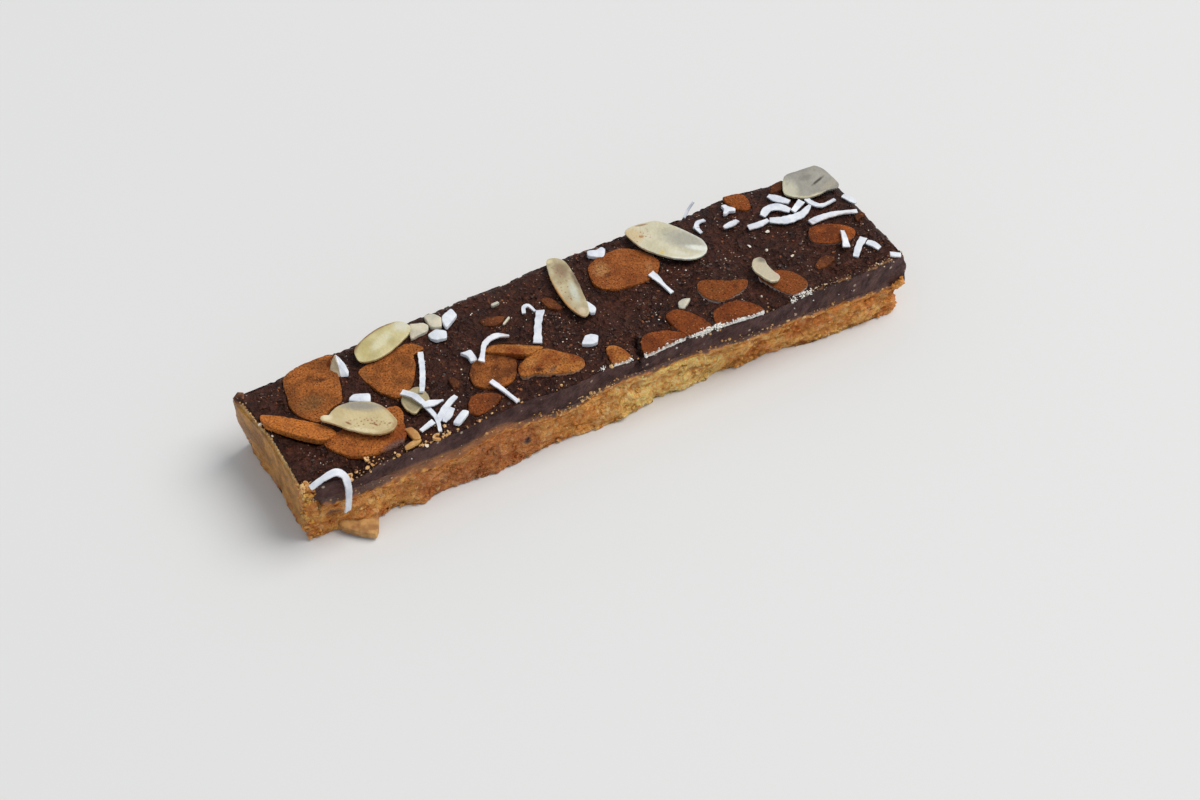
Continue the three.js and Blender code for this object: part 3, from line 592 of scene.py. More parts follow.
# %% Skin-up slices: node, rim height, (turn, roll), paleness of the sides, light and dark shade, knots
CINNAMON, UMBER, AMBER = colour(184, 108, 50), colour(132, 76, 36), colour(192, 122, 58)
RUSSET, BARK, CHESTNUT = colour(144, 74, 32), colour(96, 52, 28), colour(112, 54, 24)
SKIN_SLICES = [
    ("almond_skin_up_1", 18.9, (0, 0), 0.0, CINNAMON, UMBER,
     [(-76.5, 12.1), (-77.5, 8.2), (-76.7, 4.5), (-74.5, 1.1), (-72.9, 0.3), (-68.8, 3.1), (-65.8, 4.0),
      (-63.9, 8.2), (-62.9, 11.4), (-61.1, 18.4), (-62.1, 20.0), (-68.3, 20.0), (-73.9, 18.5),
      (-75.6, 16.0)]),
    ("almond_skin_up_2", 19.0, (0, 0), 0.0, CINNAMON, RUSSET,
     [(-75.4, -7.8), (-73.8, -10.8), (-70.6, -14.0), (-65.2, -15.6), (-59.2, -15.4), (-56.9, -13.3),
      (-55.7, -9.3), (-54.4, -5.9), (-57.0, -3.4), (-71.2, -5.0), (-75.0, -5.6)]),
    ("almond_skin_up_3", 19.5, (-45, -14), 0.0, colour(204, 120, 52), CINNAMON,
     [(-85.5, 5.4), (-84.5, 3.0), (-79.5, -3.6), (-75.4, -6.8), (-71.5, -5.4), (-72.6, -1.6), (-78.6, 4.6),
      (-83.4, 8.2), (-85.2, 8.2)]),
    ("almond_skin_up_4", 18.9, (0, 0), 0.0, CINNAMON, UMBER,
     [(-56.7, 11.8), (-57.9, 9.4), (-56.8, 3.6), (-54.3, -0.8), (-52.0, -1.7), (-48.4, 0.8), (-44.8, 6.0),
      (-43.2, 10.1), (-40.2, 10.9), (-42.4, 14.0), (-46.6, 13.9)]),
    ("almond_skin_up_5", 19.2, (-27, -18), 0.0, AMBER, RUSSET,
     [(-27.5, 1.7), (-19.7, -4.2), (-16.8, -3.8), (-14.3, -2.4), (-23.1, 3.6), (-27.3, 3.1)]),
    ("almond_skin_up_6", 18.8, (0, 0), 0.0, CINNAMON, BARK,
     [(-34.9, -6.6), (-31.2, -9.6), (-26.0, -9.4), (-22.9, -5.6), (-22.3, -2.6), (-24.6, 0.6), (-29.9, 1.4),
      (-34.1, -2.0)]),
    ("almond_skin_up_7", 19.2, (0, 0), 0.2, AMBER, RUSSET,
     [(-23.4, -10.2), (-20.4, -10.6), (-16.5, -12.6), (-11.6, -14.3), (-7.9, -13.2), (-8.0, -10.3),
      (-10.3, -7.7), (-14.5, -3.8), (-20.4, -4.9), (-23.3, -7.1)]),
    ("almond_skin_up_8", 18.8, (0, 0), 0.0, RUSSET, BARK,
     [(-40.4, -13.6), (-38.9, -15.8), (-35.1, -15.4), (-31.3, -13.2), (-31.7, -11.5), (-35.5, -9.5),
      (-38.2, -10.1)]),
    ("almond_skin_up_9", 18.5, (0, 0), 1.0, AMBER, RUSSET,
     [(-1.5, -14.4), (-0.6, -16.6), (3.1, -16.6), (3.7, -14.0), (2.3, -10.8), (-0.2, -10.3)]),
    ("almond_skin_up_10", 18.5, (0, 0), 1.0, RUSSET, CHESTNUT,
     [(7.0, -17.6), (12.0, -17.4), (18.9, -16.8), (18.7, -14.0), (14.4, -11.4), (9.3, -11.6)]),
    ("almond_skin_up_11", 18.6, (0, 0), 1.0, RUSSET, CHESTNUT,
     [(20.0, -16.9), (26.2, -17.2), (26.6, -13.4), (24.4, -8.9), (21.7, -6.6), (18.4, -8.3)]),
    ("almond_skin_up_12", 18.6, (0, 0), 1.0, RUSSET, CHESTNUT,
     [(28.6, -17.9), (35.0, -18.2), (41.4, -18.3), (40.8, -14.6), (37.5, -11.3), (32.9, -11.2),
      (29.6, -12.8)]),
    ("almond_skin_up_13", 18.8, (0, 0), 0.55, RUSSET, UMBER,
     [(30.9, -6.3), (33.0, -9.4), (35.9, -10.0), (41.7, -8.6), (43.8, -6.1), (39.0, -3.9), (33.8, -0.9),
      (31.2, -2.2)]),
    ("almond_skin_up_14", 18.9, (0, 0), 0.7, RUSSET, UMBER,
     [(49.0, -13.6), (51.5, -16.6), (56.2, -15.5), (56.8, -12.0), (53.9, -7.5), (47.2, -6.5)]),
    ("almond_skin_up_15", 19.0, (0, 0), 0.0, colour(170, 98, 48), colour(144, 78, 36),
     [(27.4, 12.2), (26.0, 15.6), (21.7, 19.2), (16.8, 19.6), (12.4, 18.4), (10.2, 16.9), (8.7, 12.7),
      (9.1, 9.2), (12.2, 6.6), (17.6, 5.7), (21.7, 5.8), (24.3, 6.4), (27.3, 9.7)]),
    ("almond_skin_up_16", 19.0, (0, 0), 0.2, colour(170, 88, 36), CHESTNUT,
     [(67.0, -2.4), (71.2, -5.3), (75.2, -5.9), (77.9, -5.2), (79.1, -3.2), (76.7, 0.2), (70.9, 2.9),
      (67.9, 1.5)]),
    ("almond_skin_up_17", 18.7, (0, 0), 0.0, colour(156, 86, 38), RUSSET,
     [(55.4, 23.8), (57.1, 24.3), (60.2, 23.6), (61.2, 22.0), (61.1, 19.6), (60.0, 17.2), (58.1, 17.0),
      (56.1, 19.2), (55.4, 21.7)]),
]

# %% Pale-up slices: node, rim height, (turn, rise), way the coloured rim faces, knots
PALE_SLICES = [
    ("almond_pale_up_1", 20.5, (17, 3), 110,
     [(-56.0, 12.6), (-51.5, 11.6), (-44.7, 13.8), (-40.6, 16.9), (-42.4, 20.5), (-47.9, 20.8),
      (-53.0, 19.2), (-55.6, 17.4), (-56.6, 15.0)]),
    ("almond_pale_up_2", 21.1, (0, 0), -50,
     [(-73.5, -0.9), (-73.2, -0.5), (-72.3, -0.35), (-71.4, -0.9), (-70.3, -0.2), (-68.4, 0.6),
      (-66.3, 0.7), (-64.1, 0.3), (-61.9, -0.8), (-59.8, -2.6), (-58.6, -4.8), (-58.0, -7.5),
      (-57.8, -10.3), (-59.0, -12.0), (-60.6, -12.7), (-62.9, -12.5), (-64.6, -11.6), (-66.5, -10.2),
      (-68.3, -8.2), (-69.6, -6.7), (-70.9, -4.8), (-72.0, -3.3), (-73.2, -2.0), (-73.5, -1.6)]),
    ("almond_pale_up_3", 19.8, (0, 0), 185,
     [(1.1, 22.7), (2.2, 23.9), (4.2, 23.3), (5.6, 21.1), (5.4, 16.7), (4.8, 12.6), (3.9, 8.8), (3.2, 5.8),
      (2.2, 2.4), (1.1, 1.1), (-0.1, 0.8), (-1.0, 2.1), (-1.7, 5.5), (-1.8, 9.4), (-1.4, 13.8),
      (-0.4, 18.6)]),
    ("almond_pale_up_4", 20.2, (-48, -3), -40,
     [(24.4, 22.6), (26.6, 23.6), (29.6, 23.7), (32.2, 23.3), (33.8, 23.0), (35.6, 21.3), (37.8, 18.4),
      (39.9, 14.7), (41.2, 11.5), (40.9, 8.6), (39.5, 6.9), (37.3, 6.1), (34.5, 6.5), (31.2, 8.4),
      (28.7, 10.7), (26.3, 13.9), (25.2, 16.0), (24.4, 19.5)]),
    ("almond_pale_up_5", 20.5, (0, 0), 200,
     [(46.6, -4.2), (48.1, -2.3), (50.0, -2.0), (50.9, -3.3), (50.4, -5.6), (50.5, -8.4), (50.9, -10.5),
      (49.6, -11.8), (48.0, -11.4), (47.2, -10.0), (46.6, -7.8), (46.3, -6.0)]),
    ("almond_pale_up_6", 19.8, (0, 0), 215,
     [(70.4, 17.4), (73.3, 21.9), (75.6, 23.0), (79.0, 22.8), (82.2, 22.8), (84.0, 22.4), (85.2, 19.9),
      (85.4, 16.3), (85.3, 13.2), (84.0, 12.1), (81.2, 12.4), (78.0, 12.1), (75.3, 12.3), (72.7, 13.5),
      (71.0, 15.2)]),
    ("almond_pale_up_7", 19.3, (0, 0), 240,
     [(-52.6, -8.6), (-50.2, -7.6), (-46.9, -5.6), (-47.7, -1.0), (-52.0, -1.8), (-53.6, -4.6)]),
]
print(len(SKIN_SLICES), "skin-up and", len(PALE_SLICES), "pale-up slices")


# %% Outlines through knots, curved or with corners
def closed_curve(knots, count):
    """Evenly spaced points on the smooth closed curve that passes through every knot."""
    here = np.array(knots, float)
    before, ahead, beyond = np.roll(here, 1, 0), np.roll(here, -1, 0), np.roll(here, -2, 0)
    t = np.linspace(0, 1, 12, endpoint=False)[:, None, None]
    fine = 0.5 * (2 * here + (ahead - before) * t + (2 * before - 5 * here + 4 * ahead - beyond) * t**2
                  + (3 * here - before - 3 * ahead + beyond) * t**3)
    return evenly(np.swapaxes(fine, 0, 1).reshape(-1, 2), count)


def evenly(points, count):
    """The same closed line with evenly spaced points."""
    closed = np.vstack([points, points[:1]])
    length = np.concatenate([[0], np.cumsum(np.linalg.norm(np.diff(closed, axis=0), axis=1))])
    steps = np.linspace(0, length[-1], count, endpoint=False)
    return np.stack([np.interp(steps, length, closed[:, k]) for k in range(points.shape[1])], 1)


# %% Distance from an outline, for the chocolate that creeps up round each slice
def outside_distance(xy, outline):
    """Distance of each point from a closed outline, 0 inside it."""
    nearest = np.full(len(xy), 1e9)
    crossings = np.zeros(len(xy), int)
    for (ax, ay), (bx, by) in zip(outline, np.roll(outline, -1, 0)):
        step = np.array((bx - ax, by - ay))
        apart = xy - (ax, ay)
        t = np.clip(apart @ step / (step @ step), 0, 1)
        nearest = np.minimum(nearest, np.linalg.norm(apart - t[:, None] * step, axis=1))
        spans = (ay > xy[:, 1]) != (by > xy[:, 1])
        crossings += spans & (xy[:, 0] < ax + (bx - ax) * (xy[:, 1] - ay) / (by - ay + 1e-12))
    return np.where(crossings % 2 == 1, 0.0, nearest)


skin_outlines = [closed_curve(row[-1], 40) for row in SKIN_SLICES]
print("longest skin-up slice, mm:", round(max(np.ptp(o, 0).max() for o in skin_outlines), 1))


# %% [markdown]
# ## A block that can be shaped
# All three layers start as the skin of a box grid: points only on its six faces, shared along the
# edges, so the surface is closed. A rule then moves every point to its place on the real layer. This
# gives full control over the cut faces, which a sculpted or remeshed block would not.

# %% The skin of a box grid
def box_skin(along, across, up):
    """Points and quads on the six faces of a grid; the three lists say where its planes lie."""
    sizes = len(along), len(across), len(up)
    i, j, k = np.indices(sizes)
    on_skin = (i == 0) | (i == sizes[0] - 1) | (j == 0) | (j == sizes[1] - 1) | (k == 0) | (k == sizes[2] - 1)
    number = np.full(sizes, -1)
    number[on_skin] = np.arange(on_skin.sum())
    points = np.stack([along[i[on_skin]], across[j[on_skin]], up[k[on_skin]]], 1)
    quads = []
    for grid, turn_over in ((number[:, :, -1], False), (number[:, :, 0], True), (number[:, 0, :], False),
                            (number[:, -1, :], True), (number[0], True), (number[-1], False)):
        four = np.stack([grid[:-1, :-1], grid[1:, :-1], grid[1:, 1:], grid[:-1, 1:]], -1).reshape(-1, 4)
        quads.append(four[:, ::-1] if turn_over else four)
    return points, np.vstack(quads)


print("a cube has", len(box_skin(*3 * [np.linspace(-1, 1, 2)])[1]), "quads")


# %% [markdown]
# ## The chocolate top
# The top is a height over the plane: slow waves, finer dents, a drop at the cut edges, a raised lip
# where the chocolate crept up round every pressed-in slice, and the bit broken out near the front
# left corner. Its sides follow the knife, with shallow drag marks.

# %% Marks on the top: the bit broken out, humps and dents, and the cleft
TOP_RIGHT = 86.0
NOTCH_AT, NOTCH_RADIUS, NOTCH_DEPTH = (-72.0, -17.5), 7.0, 2.0
# x, y, radius and height of each hump, or depth of each dent
HUMPS = [(58.3, 1.5, 4.5, 0.55), (64.8, -4.3, 3.5, 0.4), (62.8, -13.5, 4.0, 0.5), (55.0, 6.0, 3.0, 0.35),
         (62.2, 2.3, 3.2, -0.9), (66.5, -13.0, 3.0, -0.8), (54.1, -4.6, 2.8, -0.6), (46.9, 4.9, 3.4, -0.5),
         (72.5, -12.0, 4.0, 0.4), (77.0, -14.0, 3.0, -0.5), (-73.5, -15.6, 2.8, -0.7),
         (-36.0, 4.0, 4.0, -0.4)]
cleft_x = run((-19, 5.0), (-15.5, 6.3), (-11.7, 7.2), (-8.5, 9.2))  # X of the cleft for each Y
CLEFT_WIDTH, CLEFT_DEPTH = 0.9, 1.5
print("humps and dents:", len(HUMPS))


def notch(x, y):
    """Depth of the bit broken out of the front edge."""
    return NOTCH_DEPTH * smooth((NOTCH_RADIUS - np.hypot(x - NOTCH_AT[0], y - NOTCH_AT[1])) / NOTCH_RADIUS)


# %% Height of the chocolate at any place
def chocolate_top_height(x, y):
    flat = np.stack([x, y, np.zeros_like(x)], 1)
    height = BAR_HEIGHT + 0.26 * lumps(flat, 7.0, 2, 1) + 0.17 * lumps(flat, 2.2, 2, 2)
    height += 0.1 * lumps(flat, 1.1, 2, 3)
    for hx, hy, size, rise in HUMPS:
        away = np.hypot(x - hx, y - hy) / size
        height += rise * smooth(1 - away) * (1 + 0.8 * lumps(flat, 1.8, 2, 15))
    to_edge = np.minimum(np.minimum(y - front_edge(x), back_edge(x) - y), TOP_RIGHT - x)
    height -= 0.45 * (1 - smooth(to_edge / 1.6)) ** 2
    from_front = y - front_edge(x) - 0.7 - 0.3 * lumps(flat, 3.0, 2, 24)
    ridge = 0.6 * np.exp(-((from_front / 0.7) ** 2)) - 0.6 * np.exp(-(((from_front - 2.6) / 1.5) ** 2))
    height += ridge * smooth((x - 56.5) / 4)
    height -= notch(x, y)
    torn = np.abs(x - cleft_x(y) - 0.5 * lumps(flat, 1.6, 2, 22)) / CLEFT_WIDTH
    height -= CLEFT_DEPTH * smooth(1 - torn) * smooth((-8.5 - y) / 2.5)
    height -= 1.6 * smooth((-82.6 - x) / 1.6) * smooth((-14.2 - y) / 2.0)
    for outline in skin_outlines:
        near = (np.abs(x - outline[:, 0].mean()) < 14) & (np.abs(y - outline[:, 1].mean()) < 14)
        away = outside_distance(np.stack([x[near], y[near]], 1), outline)
        lip = 0.42 * np.exp(-((away / 0.9) ** 2)) - 0.16 * np.exp(-(((away - 2.4) / 1.2) ** 2))
        height[near] += np.where(away > 0, lip, -0.6)
    return height


ends = np.array([-70.0, 0.0, 70.0])
print("height of the top at three places, mm:", np.round(chocolate_top_height(ends, 0 * ends), 2).tolist())


# %% The block of chocolate before the knife marks
SKIN = 0.999  # beyond this share of the way a point lies on a face of the box grid
CHOCOLATE_RIGHT, END_BULGE, LOWEST = 85.9, 1.3, 7.0


def chocolate_block(along, across, up):
    """Places of the grid's points, with the height already on the top ones."""
    high = LOWEST + up * (BAR_HEIGHT - LOWEST)
    bulge = END_BULGE * smooth((BAR_HEIGHT - high - 0.5) / 5.5)
    left = rim_beside(across)
    x = left + (along + 1) / 2 * (CHOCOLATE_RIGHT + bulge - left)
    front = front_edge(x) + 1.2 * smooth((-82.9 - x) / 2.0)
    y = front + (across + 1) / 2 * (back_edge(x) - front)
    z = chocolate_floor(x) + up * (BAR_HEIGHT - chocolate_floor(x))
    on_top = up > SKIN
    z[on_top] = chocolate_top_height(x[on_top], y[on_top])
    z[~on_top] -= (notch(x, y) * up)[~on_top]
    return x, y, z


# %% The faces that the knife left, and the two values that the finish reads
FACE_CLEFT_X, FACE_CLEFT_DEPTH, FACE_CLEFT_FOOT = 5.4, 1.6, 13.5
LINE_FROM = 58  # X where the beige line along the front edge begins


def shape_chocolate(points):
    """Points of the layer, and which of them are cut (side) or smeared with crumb and caramel (smear)."""
    along, across, up = points.T
    x, y, z = chocolate_block(along, across, up)
    face = np.sign(across) * (np.abs(across) > SKIN)
    end = along > SKIN
    spots = np.stack([x, y, z], 1)
    wander = 0.26 * lumps(spots * (0.6, 1, 0.7), 3.5, 3, 4) + 0.1 * lumps(spots * (0.5, 1, 1), 1.0, 2, 5)
    torn_edge = 1 + 0.9 * smooth((x + 34) / 6) * smooth((4 - x) / 6)
    chips = np.clip(lumps(spots, 1.6, 2, 6) - 0.15, 0, 1) * smooth((up - 0.82) / 0.18) * torn_edge
    cut = (face != 0) | end
    y = y + face * (wander - 0.7 * chips)
    beside = np.abs(x - FACE_CLEFT_X + 0.2 * (BAR_HEIGHT - z) - 0.4 * lumps(spots, 1.5, 2, 23))
    split = smooth(1 - beside / CLEFT_WIDTH) * (face < 0)
    y = y + FACE_CLEFT_DEPTH * split * smooth((z - FACE_CLEFT_FOOT) / 2.5)
    x = x + np.where(end, wander - 0.7 * chips, 0)
    z = np.where(cut, z - 0.5 * chips, z)
    side = np.where(cut, smooth((0.995 - up) / 0.03), 0.0)
    line = ((up > SKIN) & (across < -SKIN)) * smooth((x - LINE_FROM) / 2)
    line = line * (lumps(spots * (1, 0, 0), 4.0, 3, 26) > -0.12)
    joint = z - chocolate_floor(x)
    blend = 1.6 - 1.1 * smooth((x + 50) / 30)
    smear = (1 - smooth((joint + 0.5 * lumps(spots * (1, 1, 2), 5.0, 2, 16)) / blend)) * side
    smear *= (0.7 - 0.5 * smooth((x + 40) / 25)) * smooth((x + 68) / 10)
    return np.stack([x, y, z], 1), side, np.maximum(smear, 0.9 * line)


grid_points, grid_faces = box_skin(np.linspace(-1, 1, 341), np.linspace(-1, 1, 77), np.linspace(0, 1, 17))
points, side, smear = shape_chocolate(grid_points)
make_piece("chocolate_layer", points, grid_faces, chocolate, "chocolate_top",
           {"side": side, "smear": smear})


# %% [markdown]
# ## The caramel band
# It shows as one narrow stripe on the cut faces. It reaches a little into the layers above and below,
# so no gap shows, and bulges softly where the knife squeezed it out.

# %% Shape the caramel
CARAMEL_LEFT, CARAMEL_RIGHT = -83.4, 86.3


def shape_caramel(points):
    """Points of the band, and how stained or crumbly each is."""
    along, across, up = points.T
    left = CARAMEL_LEFT - 2.4 * smooth((across - 0.2) / 0.6)
    x = left + (along + 1) / 2 * (CARAMEL_RIGHT - left)
    front, back = front_edge(x) + 0.9 * smooth((-80.5 - x) / 2.5), back_edge(x)
    y = front + (across + 1) / 2 * (back - front)
    z = chocolate_floor(x) - caramel_depth(x) - 0.3 + up * (caramel_depth(x) + 0.5)
    face = np.sign(across) * (np.abs(across) > SKIN)
    end = along > SKIN
    spots = np.stack([x, y, z], 1)
    swell = 0.12 * np.sin(math.pi * up) + 0.34 * lumps(spots * (1, 1, 0.7), 2.6, 3, 7)
    x = x + np.where(end, swell, 0)
    ragged = lumps(spots * (1, 1, 0.5), 2.0, 4, 21)
    right_part = smooth((x + 36) / 20)
    drag = smooth((-57 - x) / 14)
    stain = smooth((up - 0.78 + 0.33 * right_part + 0.72 * drag + 0.5 * ragged) / 0.24)
    stain *= 0.55 + 0.4 * np.maximum(right_part, drag)
    crumbly = smooth((0.4 + 0.35 * right_part - up + 0.4 * ragged) / 0.25)
    return np.stack([x, y + face * swell, z], 1), {"stain": stain, "crumbly": crumbly}


grid_points, grid_faces = box_skin(np.linspace(-1, 1, 301), np.linspace(-1, 1, 25), np.linspace(0, 1, 9))
points, values = shape_caramel(grid_points)
make_piece("caramel_band", points, grid_faces, caramel, "caramel_layer", values)


# %% [markdown]
# ## The shortbread
# The base is the most broken surface, so its relief comes in several sizes: torn clumps, packed
# crumbs, creases and single grains. The lower edge is ragged by the same noise. The left end stays
# smooth because the tray pressed it, and stands up beside the chocolate as a thin wall whose top
# slopes outwards.

# %% The block of shortbread, with its wall at the left end and the foot that stands out in front
LEFT, RIGHT = -85.2, 84.4
ROOF_AT_WALL = 17.75
WALL_BATTER, LIP_REACH = 0.8, 1.85


def shortbread_block(along, across, up):
    """Places of the grid's points, the front line at each, and where the rim of the wall begins."""
    lip = LIP_REACH * smooth((across - 0.2) / 0.8) * smooth((up - 0.15) / 0.45)
    left = LEFT - WALL_BATTER * up - lip
    x = left + (along + 1) / 2 * (RIGHT - left)
    corner = smooth((-0.72 - across) / 0.16)
    rim_from = rim_beside(across) + 0.1 + 2.2 * corner
    under = chocolate_floor(x) - caramel_depth(x) + 0.2
    roof = under + (ROOF_AT_WALL - 0.6 - under) * smooth((rim_from + 1.6 - x) / 1.2)
    rim = smooth((rim_from - x) / 0.35)
    roof += 0.6 * rim - 1.5 * (1 - smooth((x - left) / 1.5)) * rim
    share = smooth(up * roof / BAR_HEIGHT / 0.7)
    front = front_foot(x) + (front_edge(x) - front_foot(x)) * share
    y = front + (across + 1) / 2 * (back_edge(x) - front)
    return x, y, up * roof, front, rim_from


# %% Relief of the broken crumb
def broken_crumb(spots):
    """How far each point of a broken face stands out, drawn out a little along the bar."""
    drawn = spots * (0.6, 1, 1)
    clump = lumps(drawn, 3.4, 3, 8)
    packed = pebbles(drawn, 2.4, 9)
    grain = lumps(spots, 0.8, 2, 10)
    crease = np.clip(1 - np.abs(lumps(drawn, 3.0, 2, 14)) / 0.14, 0, 1)
    coarse = 0.7 + 0.35 * smooth((spots[:, 0] + 35) / 50)
    return coarse * (1.2 * clump + 0.4 * (packed - 0.5) - 0.5 * crease) + 0.25 * grain


# %% Shape the shortbread
def shape_shortbread(points):
    """Points of the base and the values that its material reads."""
    along, across, up = points.T
    x, y, z, front, rim_from = shortbread_block(along, across, up)
    face = np.sign(across) * (np.abs(across) > SKIN)
    right, leftmost, on_top = along > SKIN, along < -SKIN, up > SKIN
    spots = np.stack([x, y, z], 1)
    relief = broken_crumb(spots)
    streaks = 0.1 * lumps(spots * (1, 1, 0.45), 3.0, 3, 17)
    low_band = smooth((5.2 + 3.0 * lumps(spots * (1, 1, 0.2), 4.0, 2, 18) - z) / 2.0)
    skin = (1 - low_band) * smooth((y - front - 0.6 - 3.0 * up) / 1.2)
    skin = skin * (leftmost | (on_top & (x < rim_from)))
    y = y + face * relief
    outward = np.where(z > 9, np.maximum(relief, -0.15), relief)
    x = x + np.where(right, relief, 0) - np.where(leftmost, skin * streaks + (1 - skin) * 0.8 * outward, 0)
    rough_rim = np.maximum(np.maximum(np.abs(face), right), leftmost * (1 - skin))
    foot = (1 - smooth(up / 0.16)) * np.maximum(np.abs(face), right)
    z = z + foot * np.clip(0.9 * lumps(spots * (1, 1, 0), 3.2, 3, 11) + 0.5, 0, 1.6)
    wall_top = on_top & (x < rim_from)
    z = np.where(wall_top, z + 0.3 * lumps(spots, 1.1, 2, 12), z)
    # Painted shade: how deep a point lies in a crevice of the broken faces, which the material darkens.
    crevice_shade = np.clip(0.05 - relief, 0, 1) * rough_rim * 0.5
    pale = wall_top * smooth((x - rim_from + 0.75) / 0.35) * (0.4 + 0.6 * (lumps(spots, 1.5, 2, 19) > 0))
    values = {"crevice_shade": crevice_shade, "skin": skin, "soaked": soak(x), "blond": blond(x), "pale": pale}
    return np.stack([x, y, z], 1), values


# %% Make the shortbread, with a finer grid at the wall and along the edges
fine_across = np.concatenate([np.linspace(-1, -0.9, 8), np.linspace(-0.88, 0.88, 49),
                              np.linspace(0.9, 1, 5)])
fine_along = np.concatenate([np.linspace(-1, -0.955, 16), np.linspace(-0.95, 1, 389)])
grid_points, grid_faces = box_skin(fine_along, fine_across, np.linspace(0, 1, 33))
points, values = shape_shortbread(grid_points)
make_piece("shortbread_crust", points, grid_faces, shortbread, "shortbread_base", values)


# %% [markdown]
# ## Almond slices as meshes
# A slice is a set of rings from its middle to its outline, then over the shoulder, down the side and
# under. The slices that were cut by the knife end flush with the front face, where their white kernel
# shows. Each point carries kernel or rim, which the materials use to switch colour.

# %% Rings from the middle to the edge and round to the underside
def lean(turn, roll, rise):
    """Slopes in X and Y of a plane that was rolled and raised before it was turned."""
    normal = (Matrix.Rotation(math.radians(turn), 3, "Z") @ Matrix.Rotation(-math.radians(rise), 3, "Y")
              @ Matrix.Rotation(math.radians(roll), 3, "X")) @ Vector((0, 0, 1))
    return np.array((-normal.x / normal.z, -normal.y / normal.z))


def ring_faces(count, rings):
    """Faces of a closed sheet: a fan at its first point, bands between the rings, a fan at its last."""
    turn = np.arange(count)
    ahead = (turn + 1) % count
    faces = [(0, 1 + a, 1 + b) for a, b in zip(turn, ahead)]
    for low in range(1, 1 + (rings - 1) * count, count):
        faces += [(low + a, low + count + a, low + count + b, low + b) for a, b in zip(turn, ahead)]
    low, last = 1 + (rings - 1) * count, 1 + rings * count
    return faces + [(last, low + b, low + a) for a, b in zip(turn, ahead)]


def sheet(outline, top, slopes, rings):
    """Points and faces of a sheet whose rings are (share of the way out, drop below the top)."""
    middle = outline.mean(0)
    rows, out, drop = [], [], []
    for reach, below in rings:
        ring = middle + (outline - middle) * reach if reach else middle[None]
        rows.append(np.c_[ring, top + (ring - middle) @ slopes - below])
        out += [reach] * len(ring)
        drop += [below] * len(ring)
    return np.vstack(rows), ring_faces(len(outline), len(rings) - 2), np.array(out), np.array(drop)


def slice_rings(thickness, crown, shoulder):
    """A gentle crown, a rounded shoulder and a steep side."""
    out = [0, 0.3, 0.55, 0.74, 0.86, 0.93, 0.97, 0.99, 1.0]
    rings = [(r, crown * (r * r) + shoulder * max(0.0, (r - 0.93) / 0.07) ** 2) for r in out]
    rings += [(1.004, thickness * 0.5), (0.985, thickness * 0.85), (0.93, thickness)]
    return rings + [(0, thickness)]


def wavered(outline, depth, size, octaves, seed):
    """The outline with each point moved a little in X and in Y."""
    spots = np.c_[outline, outline[:, 0]]
    return outline + depth * np.stack([lumps(spots, size, octaves, seed + k) for k in (0, 30)], 1)


print("rings in a slice:", len(slice_rings(2.2, 0.2, 0.14)))

# %% Painted shade of dents, and greyed places on the skin-up slices
# The dark blots are painted shade of dents that the meshes do not have.
DENT_SHADE, GREYED = colour(66, 34, 20), colour(104, 84, 80)
skin_blots = {
    "almond_skin_up_1": [((-67.3, 12.7), -20, 4.0, 1.5, DENT_SHADE, 0.8),
                         ((-69.5, 14.6), 40, 3.0, 1.4, DENT_SHADE, 0.5),
                         ((-72.5, 6.5), 0, 8.0, 6.0, colour(126, 92, 54), 0.6)],
    "almond_skin_up_2": [((-60.6, -15.6), 5, 9.0, 2.6, GREYED, 0.85),
                         ((-64.5, -4.6), -10, 12, 2.2, DENT_SHADE, 0.5)],
    "almond_skin_up_4": [((-57.0, 9.0), 70, 5.0, 2.0, colour(120, 84, 52), 0.5)],
    "almond_skin_up_7": [((-18.9, -9.9), -20, 2.4, 1.5, DENT_SHADE, 0.85),
                         ((-16.0, -11.4), 20, 3.4, 1.6, GREYED, 0.5),
                         ((-19.5, -7.0), 20, 5.0, 3.0, colour(206, 140, 78), 0.5)],
    "almond_skin_up_13": [((39.7, -7.0), 0, 1.8, 1.4, DENT_SHADE, 0.7)],
    "almond_skin_up_15": [((12.6, 14.6), 60, 6.5, 4.6, colour(190, 138, 86), 0.65),
                          ((13.2, 12.0), 30, 2.6, 1.8, DENT_SHADE, 0.7),
                          ((24.0, 9.4), 70, 5.0, 2.8, colour(180, 124, 76), 0.5)],
}
print("marks on the skins:", sum(len(marks) for marks in skin_blots.values()))


# %% Skin-up slices; the four with pale sides were cut by the knife, so they end at the front face
def cut_by_knife(points, drop, seed):
    """Points held behind the front face, and where their kernel shows."""
    bare = smooth((points[:, 2] - 17.1 + 0.4 * lumps(points, 2.0, 2, seed + 3)) / 0.3)
    slope = 0.5 * smooth((points[:, 2] - 17.9) / 1.2) + 0.4 - 0.55 * bare
    face = front_edge(points[:, 0]) + slope + 0.15 * lumps(points, 0.7, 2, seed)
    points[:, 1] = np.maximum(points[:, 1], face)
    ragged = 0.35 * lumps(points, 0.9, 2, seed + 2)
    return smooth((drop - 0.32 + ragged) / 0.2) * (points[:, 1] < front_edge(points[:, 0]) + 0.75)


for seed, (node, top, (turn, roll), paleness, light, dark, knots) in enumerate(SKIN_SLICES, 20):
    outline = wavered(closed_curve(knots, 110), 0.17, 1.4, 3, seed)
    points, faces, _, drop = sheet(outline, top + 0.25, lean(turn, roll, 0), slice_rings(2.2, 0.2, 0.14))
    points[:, 2] += 0.12 * lumps(points, 3.0, 3, seed + 1)
    kernel = paleness * smooth((drop - 0.5) / 0.35)
    if paleness == 1.0:
        kernel = cut_by_knife(points, drop, seed)
    material = almond_skin(node + "_skin", light, dark, skin_blots.get(node, ()))
    make_piece(node + "_slice", points, faces, material, node, {"kernel": kernel}, crease=60)

